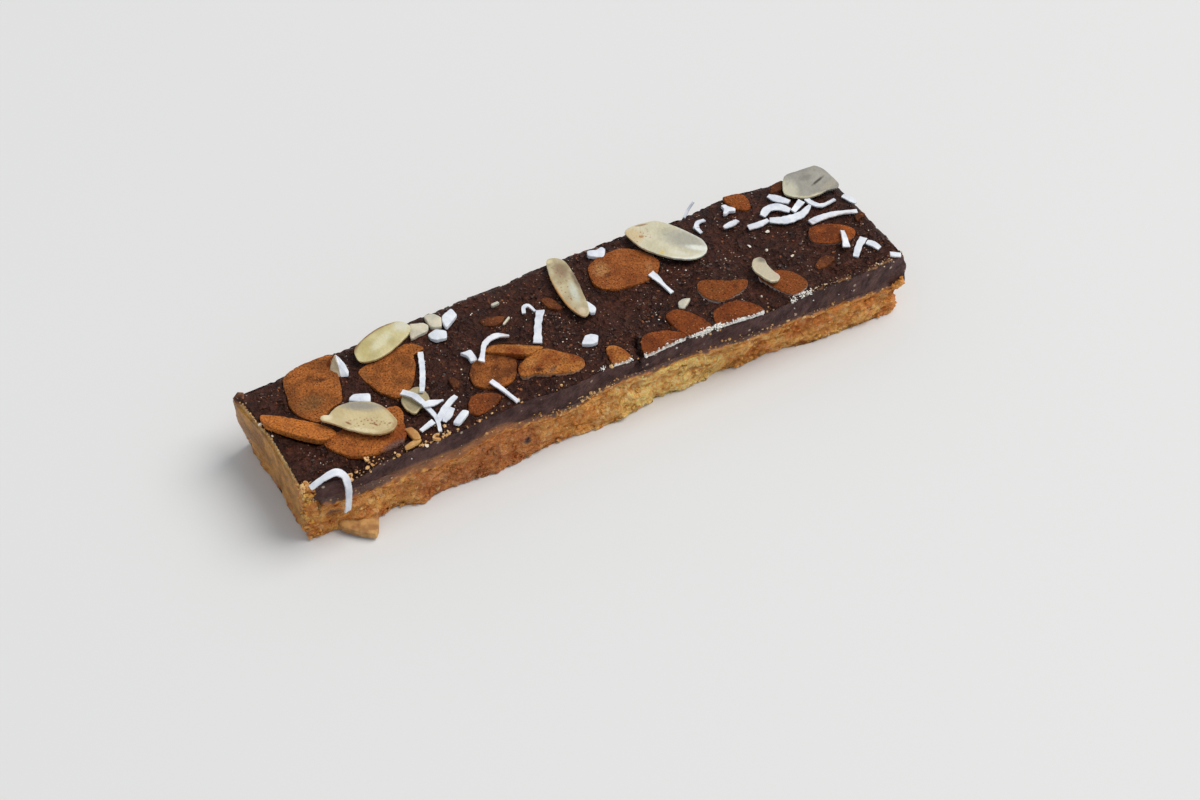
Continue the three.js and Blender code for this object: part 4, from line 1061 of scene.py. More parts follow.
# %% Looks of the pale-up slices: light, dark and rim shade, blots, areas with freckles
IVORY = colour(200, 184, 156)
STEEPED, GREY, SPECK = colour(184, 180, 166), colour(156, 152, 140), colour(142, 82, 44)
pale_looks = {
    "almond_pale_up_1": (colour(212, 198, 148), colour(186, 170, 116), colour(140, 98, 56), [
        # painted highlight: a pale streak along the middle of the slice
        ((-49.0, 16.4), 25, 10.0, 3.4, colour(234, 228, 196), 0.6),
        ((-42.4, 18.4), 40, 4.0, 5.0, colour(222, 218, 200), 0.8),
        ((-53.6, 15.4), 70, 6.0, 3.6, colour(196, 178, 112), 0.5)]),
    "almond_pale_up_2": (colour(214, 194, 148), colour(198, 176, 130), colour(176, 146, 98), [
        # painted shade, with some of the kernel's translucency: a grey patch along the upper side
        ((-63.4, -1.7), -34, 12.0, 3.8, colour(146, 140, 132), 0.85),
        ((-68.4, -5.6), -60, 1.9, 0.7, SPECK, 0.9), ((-62.9, -9.1), -60, 1.7, 0.6, SPECK, 0.9),
        ((-59.7, -10.3), 0, 0.9, 0.6, SPECK, 0.8), ((-71.9, -1.4), 0, 2.6, 2.6, colour(236, 222, 188), 0.8),
        ((-66.5, -9.2), -38, 9.0, 1.6, colour(230, 214, 174), 0.7)], [((-64.2, -8.0), -30, 13.0, 4.6)]),
    "almond_pale_up_3": (colour(200, 186, 150), colour(168, 150, 114), colour(206, 150, 86), [
        ((3.2, 18.8), 80, 7.0, 4.4, colour(140, 112, 84), 0.85),
        # painted shade down the right side of the curved slice, then a painted highlight along its middle
        ((4.7, 13.4), 80, 9.0, 2.0, colour(104, 80, 62), 0.8),
        ((2.0, 9.8), 75, 9.0, 2.4, colour(206, 208, 192), 0.8),
        ((1.4, 23.0), 0, 3.4, 2.0, colour(222, 206, 160), 0.9),
        ((0.4, 3.0), 75, 3.4, 2.4, colour(220, 200, 168), 0.7)], [((0.6, 12.0), 80, 22.0, 3.4)]),
    "almond_pale_up_4": (colour(214, 205, 178), colour(198, 189, 158), colour(224, 222, 208), [
        ((25.4, 20.4), 60, 7.0, 7.0, colour(206, 180, 134), 0.8),
        ((27.4, 19.2), 0, 1.8, 1.1, colour(170, 116, 64), 0.8),
        ((37.0, 13.4), -50, 15.0, 8.0, colour(164, 160, 146), 0.85),
        ((29.3, 11.8), 0, 1.5, 1.2, colour(226, 192, 60), 0.7),
        # painted highlight: a pale crescent along the lower edge, in two blots
        ((38.6, 9.2), -35, 7.0, 2.4, colour(234, 234, 224), 0.8),
        ((33.0, 9.6), -40, 6.0, 2.0, colour(222, 218, 200), 0.6),
        ((29.6, 23.0), -10, 4.0, 0.9, colour(150, 102, 58), 0.8)], [((27.2, 18.6), 60, 9.0, 5.0)]),
    "almond_pale_up_5": (IVORY, colour(196, 184, 158), colour(226, 210, 176), [
        ((50.4, -3.2), 0, 3.4, 3.0, colour(126, 114, 100), 0.85),
        ((50.9, -9.6), 0, 1.8, 1.6, colour(222, 172, 160), 0.7)]),
    "almond_pale_up_6": (colour(166, 160, 148), colour(142, 136, 126), colour(206, 196, 160), [
        ((81.0, 16.8), 21, 6.0, 1.0, colour(72, 64, 54), 0.95),
        ((79.0, 19.4), 0, 5.0, 3.0, colour(122, 116, 108), 0.5),
        ((72.4, 17.0), 60, 9.0, 5.0, colour(208, 202, 178), 0.75),
        ((83.0, 14.0), 20, 7.0, 3.0, colour(178, 168, 146), 0.6)]),
    "almond_pale_up_7": (colour(184, 168, 130), colour(150, 134, 102), colour(204, 184, 138), []),
}
print("marks on the kernels:", sum(len(look[3]) for look in pale_looks.values()))

# %% Pale-up slices
for seed, (node, top, (turn, rise), rim_way, knots) in enumerate(PALE_SLICES, 50):
    outline = wavered(closed_curve(knots, 72), 0.1, 1.5, 2, seed)
    points, faces, out, _ = sheet(outline, top + 0.12, lean(turn, 0, rise), slice_rings(0.85, 0.0, 0.07))
    points[:, 2] += 0.1 * lumps(points, 3.5, 2, seed + 1)
    arm = points[:, :2] - outline.mean(0)
    way = (math.cos(math.radians(rim_way)), math.sin(math.radians(rim_way)))
    facing = (arm @ way) / (np.linalg.norm(arm, axis=1) + 0.1)
    patchy = 0.6 + 0.4 * (lumps(points, 2.0, 2, seed) > -0.1)
    rim = smooth((out - 0.84) / 0.12) * smooth((facing - 0.1) / 0.5) * patchy
    material = almond_pale(node + "_kernel", *pale_looks[node])
    make_piece(node + "_slice", points, faces, material, node, {"rim": rim}, crease=60)

# %% [markdown]
# ## Coconut
# The coconut is shredded: flat ribbons with square edges, some curled and tapered, and a few short
# chips. A ribbon is swept along a curve through its stations, twisted a little, and its width follows
# the stations too. Edges sharper than 35 degrees stay crisp, as cut flesh does.

# %% Coconut material
coconut, tree, shader, place = new_material(
    "coconut", Subsurface_Weight=0.15, Subsurface_Radius=(0.6, 0.6, 0.6), Subsurface_Scale=0.0006,
    Specular_IOR_Level=0.35)
husk = attribute(tree, "husk")
# Patches from white to bluish grey: partly the flesh's own tone, partly painted bluish shade.
fibre_and_shade = use_group(tree, patches, Vector=place, Size=2.2, Low=0.34, High=0.72)["Mask"]
base = mix_colour(tree, fibre_and_shade, colour(236, 237, 241), colour(212, 215, 225))
base = mix_colour(tree, husk, base, colour(176, 122, 82))
finish_surface(tree, shader, base, 0.42, fibre_and_shade, 0.06)


# %% A smooth open curve
def open_curve(stations, step):
    """Points about `step` apart on a smooth curve through the stations, of any number of values each."""
    k = np.array(stations, float)
    k = np.vstack([2 * k[0] - k[1], k, 2 * k[-1] - k[-2]])
    path = []
    for a, b, c, d in zip(k, k[1:], k[2:], k[3:]):
        for t in np.linspace(0, 1, max(3, int(np.linalg.norm(c - b) / step)), endpoint=False):
            bow = (2 * a - 5 * b + 4 * c - d) * t**2 + (3 * b - a - 3 * c + d) * t**3
            path.append(0.5 * (2 * b + (c - a) * t + bow))
    return np.array(path + [k[-2]])


# %% Sweep one ribbon
SECTION = [(-1, -0.6), (-0.9, -1), (0, -1), (0.9, -1), (1, -0.6),
           (1, 0.6), (0.9, 1), (0, 0.8), (-0.9, 1), (-1, 0.6)]


def ribbon(stations, thickness, seed, step=0.45):
    """A flat strip through stations of x, y, z and width."""
    path = open_curve(stations, step)
    path, wide = path[:, :3], path[:, 3] / 2
    ahead = np.gradient(path, axis=0)
    ahead /= np.linalg.norm(ahead, axis=1)[:, None]
    flat = np.c_[-ahead[:, 1], ahead[:, 0], np.zeros(len(path))]
    for i in range(1, len(path)):
        if np.linalg.norm(flat[i]) < 0.3:
            flat[i] = flat[i - 1]
    flat /= np.linalg.norm(flat, axis=1)[:, None]
    twist = 0.45 * lumps(path, 4.0, 1, seed)[:, None]
    side = flat * np.cos(twist) + np.cross(ahead, flat) * np.sin(twist)
    up = np.cross(ahead, side)
    wide = wide * (1 + 0.16 * lumps(path, 1.1, 2, seed + 1))
    rows = [path + side * (wide * s)[:, None] + up * (thickness / 2 * u) for s, u in SECTION]
    points = np.stack(rows, 1).reshape(-1, 3)
    points += 0.03 * lumps(points, 0.8, 1, seed + 2)[:, None]
    n, last = len(SECTION), len(path) - 1
    faces = [tuple(range(n))[::-1], tuple(last * n + c for c in range(n))]
    for low in range(0, last * n, n):
        faces += [(low + c, low + (c + 1) % n, low + n + (c + 1) % n, low + n + c) for c in range(n)]
    return points, faces


def join(parts):
    """Several (points, faces) as one."""
    points, faces, start = [], [], 0
    for p, f in parts:
        points.append(p)
        faces += [tuple(int(i) + start for i in face) for face in f]
        start += len(p)
    return np.vstack(points), faces


# %% Ribbons as stations of x, y, z and width; a first number above 0 is the share with brown husk
RIBBONS = [
    (0, (-41.5, 10, 18.7, 1.4), (-43.9, 4.1, 18.8, 1.5), (-46.8, -1.6, 19.2, 1.3),
     (-48.0, -3.6, 20.0, 1.1)),
    (0, (-52.3, -1.6, 20.3, 1.5), (-50.3, -4.7, 20.6, 1.6), (-49, -8.6, 19.7, 1.3),
     (-48.4, -12.4, 19.0, 1.1), (-49.4, -16.3, 18.6, 0.9)),
    (0, (-50.0, -8.2, 20.4, 1.6), (-48.0, -8.2, 20.2, 2.1), (-46.4, -8.0, 19.6, 1.5),
     (-44.3, -7.9, 19.2, 0.5)),
    (0, (-48.4, -13.0, 18.8, 1.5), (-46.1, -11.4, 19.5, 1.7), (-43.4, -9.7, 19.8, 1.5),
     (-41.2, -8.5, 19.6, 1.3)),
    (0, (-47.2, -14.0, 18.7, 1.0), (-45.6, -12.8, 19.2, 2.2), (-43.6, -11.4, 19.3, 1.4)),
    (0, (-53.5, -14.1, 18.8, 1.2), (-49.5, -12.9, 19.0, 1.5)),
    (0.35, (-19.6, 4.4, 18.9, 0.5), (-22.2, 5.7, 19.2, 1.5), (-24.9, 5.2, 19.5, 1.6), (-27.4, 3, 20.5, 1.4),
     (-28.8, 1.0, 20.4, 1.2), (-30.4, -1.2, 20.0, 1.6)),
    (0.15, (-31.4, -8.0, 19.7, 1.5), (-30.2, -10.6, 19.1, 1.4), (-29.2, -13.6, 18.7, 1.1),
     (-28.4, -16.4, 18.6, 1.2)),
    (0, (-8.3, 8.9, 18.8, 2.2), (-11.3, 4.6, 18.9, 1.9), (-14.5, -1.0, 18.7, 2.3)),
    (0, (-12.4, 9.9, 18.8, 0.9), (-11.6, 11.6, 19.1, 1.1), (-10.2, 11.6, 19.1, 1.0),
     (-9.5, 9.4, 18.7, 0.7)),
    (0, (22.8, 6.8, 19.7, 2.0), (23.5, 4.4, 19.3, 1.6), (23.9, 1.8, 18.9, 1.1), (24.5, -1.2, 18.6, 1.2)),
    (0, (46.4, 18.6, 18.8, 1.2), (44.2, 18.4, 19.0, 1.2), (42.9, 16.9, 19.0, 1.3), (43.1, 14.7, 18.7, 0.9)),
    (0.3, (42.2, 17.4, 18.8, 0.7), (43.6, 16.6, 19.1, 0.9)),
    (0.25, (49.3, 13.6, 18.8, 0.9), (51.6, 13.8, 18.9, 2.0), (54.0, 14.3, 18.8, 1.4)),
    (0, (66.5, 18.8, 18.9, 1.3), (67.8, 16.4, 19.1, 2.3), (69.8, 13.6, 19.3, 1.9)),
    (0, (60.8, 12.7, 18.8, 1.6), (63.2, 14.0, 19.2, 2.4), (66, 13.4, 19.3, 2.4), (68.3, 10.9, 19.0, 1.6)),
    (0.3, (55.1, 10.7, 18.6, 2.0), (58.0, 10.2, 18.9, 1.8), (61.2, 10.5, 18.9, 1.2)),
    (0, (61.4, 10.2, 19.0, 1.8), (65.0, 8.0, 19.3, 2.5), (70, 8.0, 19.2, 2.2), (73.9, 9.8, 19.4, 0.9)),
    (0, (68.4, 9.8, 19.5, 1.6), (72.6, 12.0, 19.7, 1.9)),
    (0, (74.6, 12.7, 19.2, 1.6), (75, 10.6, 19.1, 1.5), (77, 8.7, 18.9, 1.3), (81.4, 9.1, 18.9, 1.0)),
    (0.45, (70.4, 4.5, 18.8, 2.0), (74.0, 4.6, 19.0, 1.9), (78.8, 3.9, 19.1, 1.6), (84.0, 2.4, 18.8, 1.3)),
    (0, (84.2, 9.6, 18.7, 1.3), (85.4, 7.0, 18.6, 1.7), (85.9, 5.6, 18.4, 0.8)),
    (0, (79.4, -7.2, 18.8, 2.1), (76.4, -9.4, 18.9, 1.9), (73.5, -12.2, 18.6, 1.5)),
    (0, (79.2, -9.0, 18.8, 1.6), (80.2, -10.6, 18.9, 2.0), (80.9, -12.5, 18.6, 1.4)),
    (0.2, (82.0, -15.6, 18.6, 1.6), (84.5, -17.0, 18.3, 1.3)),
    (0.2, (75.2, -3.3, 20.0, 1.1), (74.2, -5.8, 20.0, 1.5), (73.0, -8.6, 19.4, 2.1)),
    (0, (-84.0, -17.4, 17.9, 1.5), (-80.3, -17.2, 19.2, 1.9), (-77.2, -17.1, 19.5, 2.0),
     (-75.6, -18.1, 18.5, 1.9), (-75.3, -19.3, 16.4, 1.8), (-75.4, -19.7, 13.6, 1.8),
     (-75.7, -19.9, 11.2, 1.8), (-76.2, -20.1, 8.4, 1.8)),
    (0, (42.6, 22.6, 18.2, 0.7), (44.6, 23.8, 19.4, 0.7), (46.4, 24.2, 21.0, 0.5)),
]
print("ribbons:", len(RIBBONS))

# %% Make the ribbons, with brown husk on one edge and one end
RIBBON_THICKNESS = 0.5
made = [ribbon(stations, RIBBON_THICKNESS, 70 + 3 * i) for i, (_, *stations) in enumerate(RIBBONS)]
husk_values = []
for (share, *_), (points, _) in zip(RIBBONS, made):
    way = np.linspace(0, 1, len(points))
    edge = np.tile([1, 0.6, 0, 0, 0, 0, 0, 0, 0.6, 1], len(points) // len(SECTION))
    reach = np.clip(edge + smooth((0.2 - way) / 0.15), 0, 1.6)
    husk_values.append(share * reach * (lumps(points, 0.9, 2, 5) > -0.1))
points, faces = join(made)
make_piece("coconut_ribbons", points, faces, coconut, "chocolate_top",
           {"husk": np.clip(np.concatenate(husk_values), 0, 1)}, crease=35)

# %% [markdown]
# ## Chips
# Short thick bits lie between the slices: white coconut, ivory almond and a few golden and brown ones.
# They broke or were cut straight, so their outlines keep their corners, and each is a low slab made
# with the same rings as the slices.

# %% Chips by kind: top height, thickness, knots of the outline
WHITE_CHIPS = [
    (19.7, 1.0, [(-64.3, 2.6), (-60.0, -0.1), (-58.8, 2.5), (-62.3, 4.2), (-63.8, 3.7)]),
    (19.3, 0.9, [(-44.3, -16.6), (-40.3, -14.0), (-41.7, -12.8), (-45.7, -15.4)]),
    (19.6, 1.1, [(-32.2, 15.8), (-32.2, 13.8), (-28.9, 16.2), (-27.4, 17.4), (-27.6, 20.4), (-31.3, 18.4)]),
    (19.4, 1.0, [(-37.1, 12.9), (-36.2, 11.5), (-33.7, 10.8), (-32.5, 13.3), (-34.6, 15.5), (-37.1, 14.7)]),
    (19.3, 0.9, [(-32.1, 3.1), (-32.3, 0.7), (-30.3, 0.8), (-30.1, 4.8), (-31.8, 4.8), (-33.3, 4.7)]),
    (19.3, 1.0, [(-3.3, -7.9), (-1.4, -8.1), (0.0, -6.0), (-1.4, -4.7), (-3.0, -4.5), (-5.3, -6.8)]),
    (20.0, 0.9, [(1.5, 3.8), (1.9, 1.2), (2.8, 0.7), (4.1, 2.2), (3.4, 5.9), (2.3, 6.5)]),
    (19.4, 1.0, [(12.9, 22.4), (12.2, 20.5), (15.7, 18.4), (17.8, 21.2), (17.2, 22.3), (15.2, 21.8)]),
    (19.3, 0.9, [(53.3, 19.9), (51.8, 18.0), (52.6, 17.6), (53.9, 18.3), (55.5, 17.7), (56.2, 18.9),
                 (55.0, 20.1), (54.7, 21.6), (53.4, 21.7)]),
]
IVORY_CHIPS = [
    (19.5, 1.1, [(-35.3, 16.4), (-32.8, 15.3), (-31.4, 18.3), (-32.9, 20.6), (-35.2, 20.7)]),
    (19.3, 0.9, [(-41.6, 15.2), (-39.3, 15.4), (-36.7, 15.6), (-35.6, 17.0), (-36.2, 18.7), (-38.4, 19.6),
                 (-39.7, 20.0)]),
    (19.1, 0.8, [(-18.2, 16.0), (-15.9, 16.4), (-16.1, 17.2), (-18.2, 16.9)]),
    (19.2, 0.9, [(23.1, -6.8), (24.0, -7.7), (25.9, -6.6), (27.3, -5.5), (25.1, -4.8), (23.7, -5.2)]),
    (19.1, 0.5, [(-18.6, 8.7), (-16.1, 10.4), (-16.2, 11.0), (-19.1, 8.9)]),
]
GOLDEN_CHIPS = [
    (19.6, 0.9, [(-56.6, -14.2), (-56.4, -16.4), (-54.8, -16.9), (-54.4, -14.7), (-54.9, -12.1),
                 (-56.8, -11.7)]),
    (19.2, 0.8, [(-59.1, -17.6), (-55.8, -17.4), (-54.6, -16.8), (-56.0, -16.1), (-59.2, -16.6)]),
]
BROWN_CHIPS = [
    (19.0, 1.0, [(62.5, -11.6), (65.0, -11.6), (68.0, -10.7), (68.7, -9.4), (66.6, -8.1), (64.4, -8.4),
                 (62.2, -10.1)]),
    (18.9, 0.9, [(68.0, 19.9), (71.2, 19.4), (73.4, 21.0), (73.2, 22.6), (69.6, 22.4)]),
    (18.8, 0.8, [(-6.3, 12.5), (-4.7, 13.2), (-3.1, 11.0), (-2.4, 7.6), (-3.9, 7.1), (-5.9, 9.2)]),
    (18.8, 0.8, [(-23.2, 11.3), (-20.9, 9.6), (-18.8, 9.9), (-17.1, 11.3), (-17.9, 12.2), (-21.2, 13.5),
                 (-23.4, 13.5)]),
    (18.9, 0.9, [(-40.0, -2.9), (-39.9, -4.6), (-38.7, -4.9), (-37.6, -3.4), (-38.2, -1.6), (-39.5, -1.3)]),
    (18.9, 0.8, [(82.0, -0.6), (83.6, 0.1), (85.3, 0.3), (85.2, 1.9), (84.0, 2.3), (82.4, 1.5)]),
]
print("chips:", len(WHITE_CHIPS), len(IVORY_CHIPS), len(GOLDEN_CHIPS), len(BROWN_CHIPS))


# %% Make the chips
def blunted(knots):
    """Knots of the same outline with each corner cut short, so its sides stay straight."""
    here, ahead = np.array(knots, float), np.roll(knots, -1, 0)
    return np.stack([here + 0.17 * (ahead - here), here + 0.83 * (ahead - here)], 1).reshape(-1, 2)


def chip(top, thickness, knots, seed):
    """A low slab with rounded upper edges and a slight tilt."""
    count = max(24, int(np.linalg.norm(np.ptp(knots, axis=0)) * 8))
    outline = wavered(closed_curve(blunted(knots), count), 0.05, 0.7, 2, seed)
    tilt = np.random.default_rng(seed).uniform(-0.12, 0.12, 2)
    rings = [(0, 0), (0.5, 0), (0.85, 0.03), (0.96, 0.1), (1.0, 0.22),
             (1.0, thickness), (0.5, thickness), (0, thickness)]
    points, faces, _, _ = sheet(outline, top - 0.15, tilt, rings)
    points[:, 2] += 0.12 * lumps(points, 1.4, 2, seed)
    return points, faces


def chip_piece(name, rows, material, seed):
    """All chips of one kind as one mesh."""
    points, faces = join([chip(*row, seed + i) for i, row in enumerate(rows)])
    nothing = np.zeros(len(points))
    return make_piece(name, points, faces, material, "chocolate_top",
                      {"husk": nothing, "rim": nothing, "kernel": nothing}, crease=40)


ivory_chip = almond_pale("ivory_chip", colour(222, 210, 184), STEEPED)
golden_chip = almond_pale("golden_chip", colour(214, 164, 92), colour(178, 120, 62))
brown_chip = almond_skin("brown_chip", colour(126, 70, 38), colour(84, 48, 30))
chip_piece("coconut_chips", WHITE_CHIPS, coconut, 160)
chip_piece("almond_chips_ivory", IVORY_CHIPS, ivory_chip, 180)
chip_piece("almond_chips_golden", GOLDEN_CHIPS, golden_chip, 190)
chip_piece("almond_chips_brown", BROWN_CHIPS, brown_chip, 200)

# %% [markdown]
# ## The splinter on end
# Near the back edge a splinter of almond leans on a flake of coconut and stands up. Both are thin
# blades. A slab drawn from above could not stand, so they are laid out corner by corner in space and
# then given a thickness.

# %% Thin blades
BLADE_POINTS = 44  # points round the edge of a blade


def blade(corners, thickness, seed):
    """A thin blade from corners in space, with a fine edge line and a little roughness."""
    outline = evenly(np.array(corners, float), BLADE_POINTS)
    middle = outline.mean(0)
    normal = np.linalg.svd(outline - middle)[2][2]
    normal *= np.sign(normal[2])
    rings = ((0.5, 0.5), (0.9, 0.45), (1.0, 0.3), (1.0, -0.3), (0.9, -0.45), (0.5, -0.5))
    rows = [middle + (outline - middle) * reach + normal * side * thickness for reach, side in rings]
    points = np.vstack([middle[None], *rows, middle[None] - normal * thickness / 2])
    points[0] += normal * thickness / 2
    points += normal * (0.12 * lumps(points, 1.6, 2, seed))[:, None]
    return points, ring_faces(BLADE_POINTS, len(rings))


# %% Splinter, its skin, and the flake of coconut that holds it
SPLINTER = [(-64.1, 14.2, 18.1), (-63.4, 12.9, 18.0), (-61.9, 12.1, 18.0), (-61.6, 13.4, 19.2),
            (-61.5, 15.0, 20.6), (-61.3, 16.8, 21.3), (-62.6, 16.2, 20.0)]
COCONUT_FLAKE = [(-62.2, 12.2, 18.0), (-60.4, 11.5, 18.0), (-59.8, 12.5, 18.6), (-59.9, 14.1, 19.7),
                 (-60.6, 15.8, 20.8), (-61.2, 16.9, 21.3), (-61.7, 14.6, 20.2)]
SPLINTER_SKIN = [(-63.9, 14.6, 18.0), (-64.3, 15.6, 18.5), (-63.4, 17.2, 19.2), (-61.4, 17.1, 21.2),
                 (-62.7, 15.8, 19.9)]
splinter_kernel = almond_pale("splinter_kernel", colour(220, 212, 196), colour(184, 160, 126))
splinter_skin = almond_skin("splinter_skin", CINNAMON, RUSSET)
for name, corners, thickness, seed, material, slot, key in (
        ("almond_splinter", SPLINTER, 0.8, 210, splinter_kernel, "almond_pale", "rim"),
        ("coconut_flake", COCONUT_FLAKE, 0.7, 214, coconut, "almond_pale", "husk"),
        ("almond_splinter_skin", SPLINTER_SKIN, 0.5, 218, splinter_skin, "almond_skin", "kernel")):
    points, faces = blade(corners, thickness, seed)
    nothing = np.zeros(len(points))
    make_piece(name, points, faces, material, "chocolate_top", {key: nothing}, crease=40)

# %% [markdown]
# ## The lip at the corner
# At the back left corner a brown lip of the shortbread's skin curls over the edge of the chocolate. It
# is one more thin blade, with its own crumb-brown finish. That finish, two shades in patches with fine
# grain, is a function, because every kind of crumb uses it too.

# %% Corner lip
def crumb_material(name, light, dark, rough):
    material, tree, shader, place = new_material(name, Specular_IOR_Level=0.4)
    shade = use_group(tree, patches, Vector=place, Size=2.2, Low=0.35, High=0.65)["Mask"]
    grain = use_group(tree, patches, Vector=place, Size=0.3, Low=0.3, High=0.7)["Mask"]
    finish_surface(tree, shader, mix_colour(tree, shade, light, dark), rough, grain, 0.05)
    return material


LIP = [(-87.7, 18.9, 17.0), (-87.6, 17.2, 16.7), (-86.8, 16.0, 17.0), (-85.6, 16.6, 17.9),
       (-85.2, 18.2, 18.5), (-86.2, 19.2, 18.2)]
points, faces = blade(LIP, 0.7, 222)
lip_look = crumb_material("lip", colour(150, 92, 52), colour(88, 50, 32), 0.5)
make_piece("shortbread_lip", points, faces, lip_look, "shortbread_base", crease=50)

# %% [markdown]
# ## Crumbs
# Crumbs and dust are real little meshes at true size, joined into one mesh a kind, because particles
# and instances would be lost in an export. Each starts as an icosahedron with its corners pushed in
# and out. They are strewn by seeded draws, more densely where the bar has them.

# %% One crumb, many times
GOLD = (1 + 5**0.5) / 2
ICO = np.array([(-1, GOLD, 0), (1, GOLD, 0), (-1, -GOLD, 0), (1, -GOLD, 0), (0, -1, GOLD), (0, 1, GOLD),
                (0, -1, -GOLD), (0, 1, -GOLD), (GOLD, 0, -1), (GOLD, 0, 1), (-GOLD, 0, -1),
                (-GOLD, 0, 1)]) / math.hypot(1, GOLD)
ICO_FACES = np.array([(0, 11, 5), (0, 5, 1), (0, 1, 7), (0, 7, 10), (0, 10, 11), (1, 5, 9), (5, 11, 4),
                      (11, 10, 2), (10, 7, 6), (7, 1, 8), (3, 9, 4), (3, 4, 2), (3, 2, 6), (3, 6, 8),
                      (3, 8, 9), (4, 9, 5), (2, 4, 11), (6, 2, 10), (8, 6, 7), (9, 8, 1)])


def strewn(centres, sizes, rng):
    """All crumbs of one kind as one set of points and faces."""
    count = len(centres)
    stretch = rng.uniform(0.55, 1.3, (count, 1, 3)) * (1, 1, 0.75)
    bumps = rng.uniform(0.65, 1.2, (count, len(ICO), 1))
    points = ICO[None] * bumps * stretch * (sizes / 2)[:, None, None] + centres[:, None]
    faces = ICO_FACES[None] + len(ICO) * np.arange(count)[:, None, None]
    return points.reshape(-1, 3), faces.reshape(-1, 3)


def few_large(low, span, count, power, rng):
    """Sizes from low to low + span, most of them small."""
    return low + span * rng.uniform(0, 1, count) ** power


print("corners and faces of a crumb:", len(ICO), len(ICO_FACES))

# %% Crumb materials
nut_crumb = crumb_material("nut_crumb", colour(150, 86, 48), colour(104, 58, 34), 0.7)
pale_crumb = crumb_material("pale_crumb", colour(248, 242, 232), colour(230, 212, 184), 0.5)
golden_crumb = crumb_material("golden_crumb", colour(236, 194, 136), colour(206, 144, 78), 0.5)
white_crumb = crumb_material("white_crumb", colour(254, 252, 246), colour(240, 234, 222), 0.5)
beige_crumb = crumb_material("beige_crumb", colour(230, 206, 172), colour(190, 148, 106), 0.5)
dark_crumb = crumb_material("dark_crumb", colour(72, 44, 34), colour(54, 32, 26), 0.5)

# %% [markdown]
# ## Dust on the top
# Nut dust, pale dust and dark shavings lie all over the chocolate, thickest round the middle and in
# loose sprays. A spot is drawn anywhere over the bar and kept by chance, and a soft noise makes that
# chance uneven, which looks more real than an even grid or a plain random scatter.

# %% Places on the top
def middle_heavy(x, y):
    """The chance that a crumb stays at a place."""
    sprays = smooth((lumps(np.stack([x, y, 0 * x], 1), 6.0, 2, 25) + 0.25) / 0.5)
    return (0.1 + 0.9 * sprays) * (0.35 + 0.65 * np.exp(-(((x - 10) / 24) ** 2) - ((y + 2) / 14) ** 2))


def on_top(count, rng, dense):
    """Random places on the chocolate, kept with the chance that dense(x, y) gives."""
    tries = count * 12
    x, y, chance = rng.uniform(-83, 85.5, tries), rng.uniform(-18, 24.5, tries), rng.uniform(0, 1, tries)
    keep = (y > front_edge(x) + 0.3) & (y < back_edge(x) - 0.3) & (chance < dense(x, y))
    x, y = x[keep][:count], y[keep][:count]
    return np.c_[x, y, chocolate_top_height(x, y)]


# %% Strew the top: name, material, count, smallest and largest size
DUST = [("nut_dust", nut_crumb, 900, 0.2, 0.9), ("pale_dust", pale_crumb, 420, 0.14, 0.5),
        ("chocolate_shavings", dark_crumb, 1200, 0.3, 1.2)]
rng = np.random.default_rng(11)
for name, material, count, low, high in DUST:
    centres = on_top(count, rng, middle_heavy)
    sizes = few_large(low, high - low, len(centres), 2.5, rng)
    points, faces = strewn(centres + np.c_[np.zeros((len(centres), 2)), 0.12 * sizes], sizes, rng)
    make_piece(name, points, faces, material, None, crease=30)

# %% [markdown]
# ## Crumbs along the edges
# The knife pulled golden crumbs up over the top front edge at the left and a beige line of them at the
# right, and more lie on the rim of the wall and at its front corner. All are drawn together, then
# parted by their place, so one finish changes into the other where the bar does.

# %% Crumbs along the front edge, at the corner and on the rim
CORNER_COUNT, RIM_COUNT = 90, 120
BEIGE_FROM = 50  # X where golden crumbs give way to beige ones
rng = np.random.default_rng(12)
x = np.concatenate([rng.uniform(-74, -46, 80), rng.uniform(-46, 50, 50), rng.uniform(57, 70, 34),
                    rng.uniform(74, 85.5, 34)])
inward = np.where(x > BEIGE_FROM, rng.normal(0.35, 0.35, len(x)), rng.exponential(0.8, len(x)) + 0.05)
y = front_edge(x) + inward
z = chocolate_top_height(x, y) + 0.1
sizes = few_large(0.3, 1.0, len(x), 2.5, rng)
sizes[x > BEIGE_FROM] *= 0.6
corner_x, corner_y = rng.uniform(-86.0, -82.2, CORNER_COUNT), rng.uniform(-17.0, -13.6, CORNER_COUNT)
rim_y = rng.uniform(-14, 17, RIM_COUNT)
rim_x = left_rim(rim_y) - 0.25 + rng.normal(0, 0.12, RIM_COUNT)
corner_size, rim_size = rng.uniform(0.5, 1.5, CORNER_COUNT), few_large(0.25, 0.5, RIM_COUNT, 3, rng)
corner_z, rim_z = rng.uniform(16.6, 17.7, CORNER_COUNT), np.full(RIM_COUNT, 17.65)
centres = np.c_[np.concatenate([x, corner_x, rim_x]), np.concatenate([y, corner_y, rim_y]),
                np.concatenate([z, corner_z, rim_z])]
sizes = np.concatenate([sizes, corner_size, rim_size])
is_beige = centres[:, 0] >= BEIGE_FROM
for name, material, chosen in (("edge_crumbs_golden", golden_crumb, ~is_beige),
                               ("edge_crumbs_beige", beige_crumb, is_beige)):
    points, faces = strewn(centres[chosen], sizes[chosen], rng)
    make_piece(name, points, faces, material, None, crease=30)

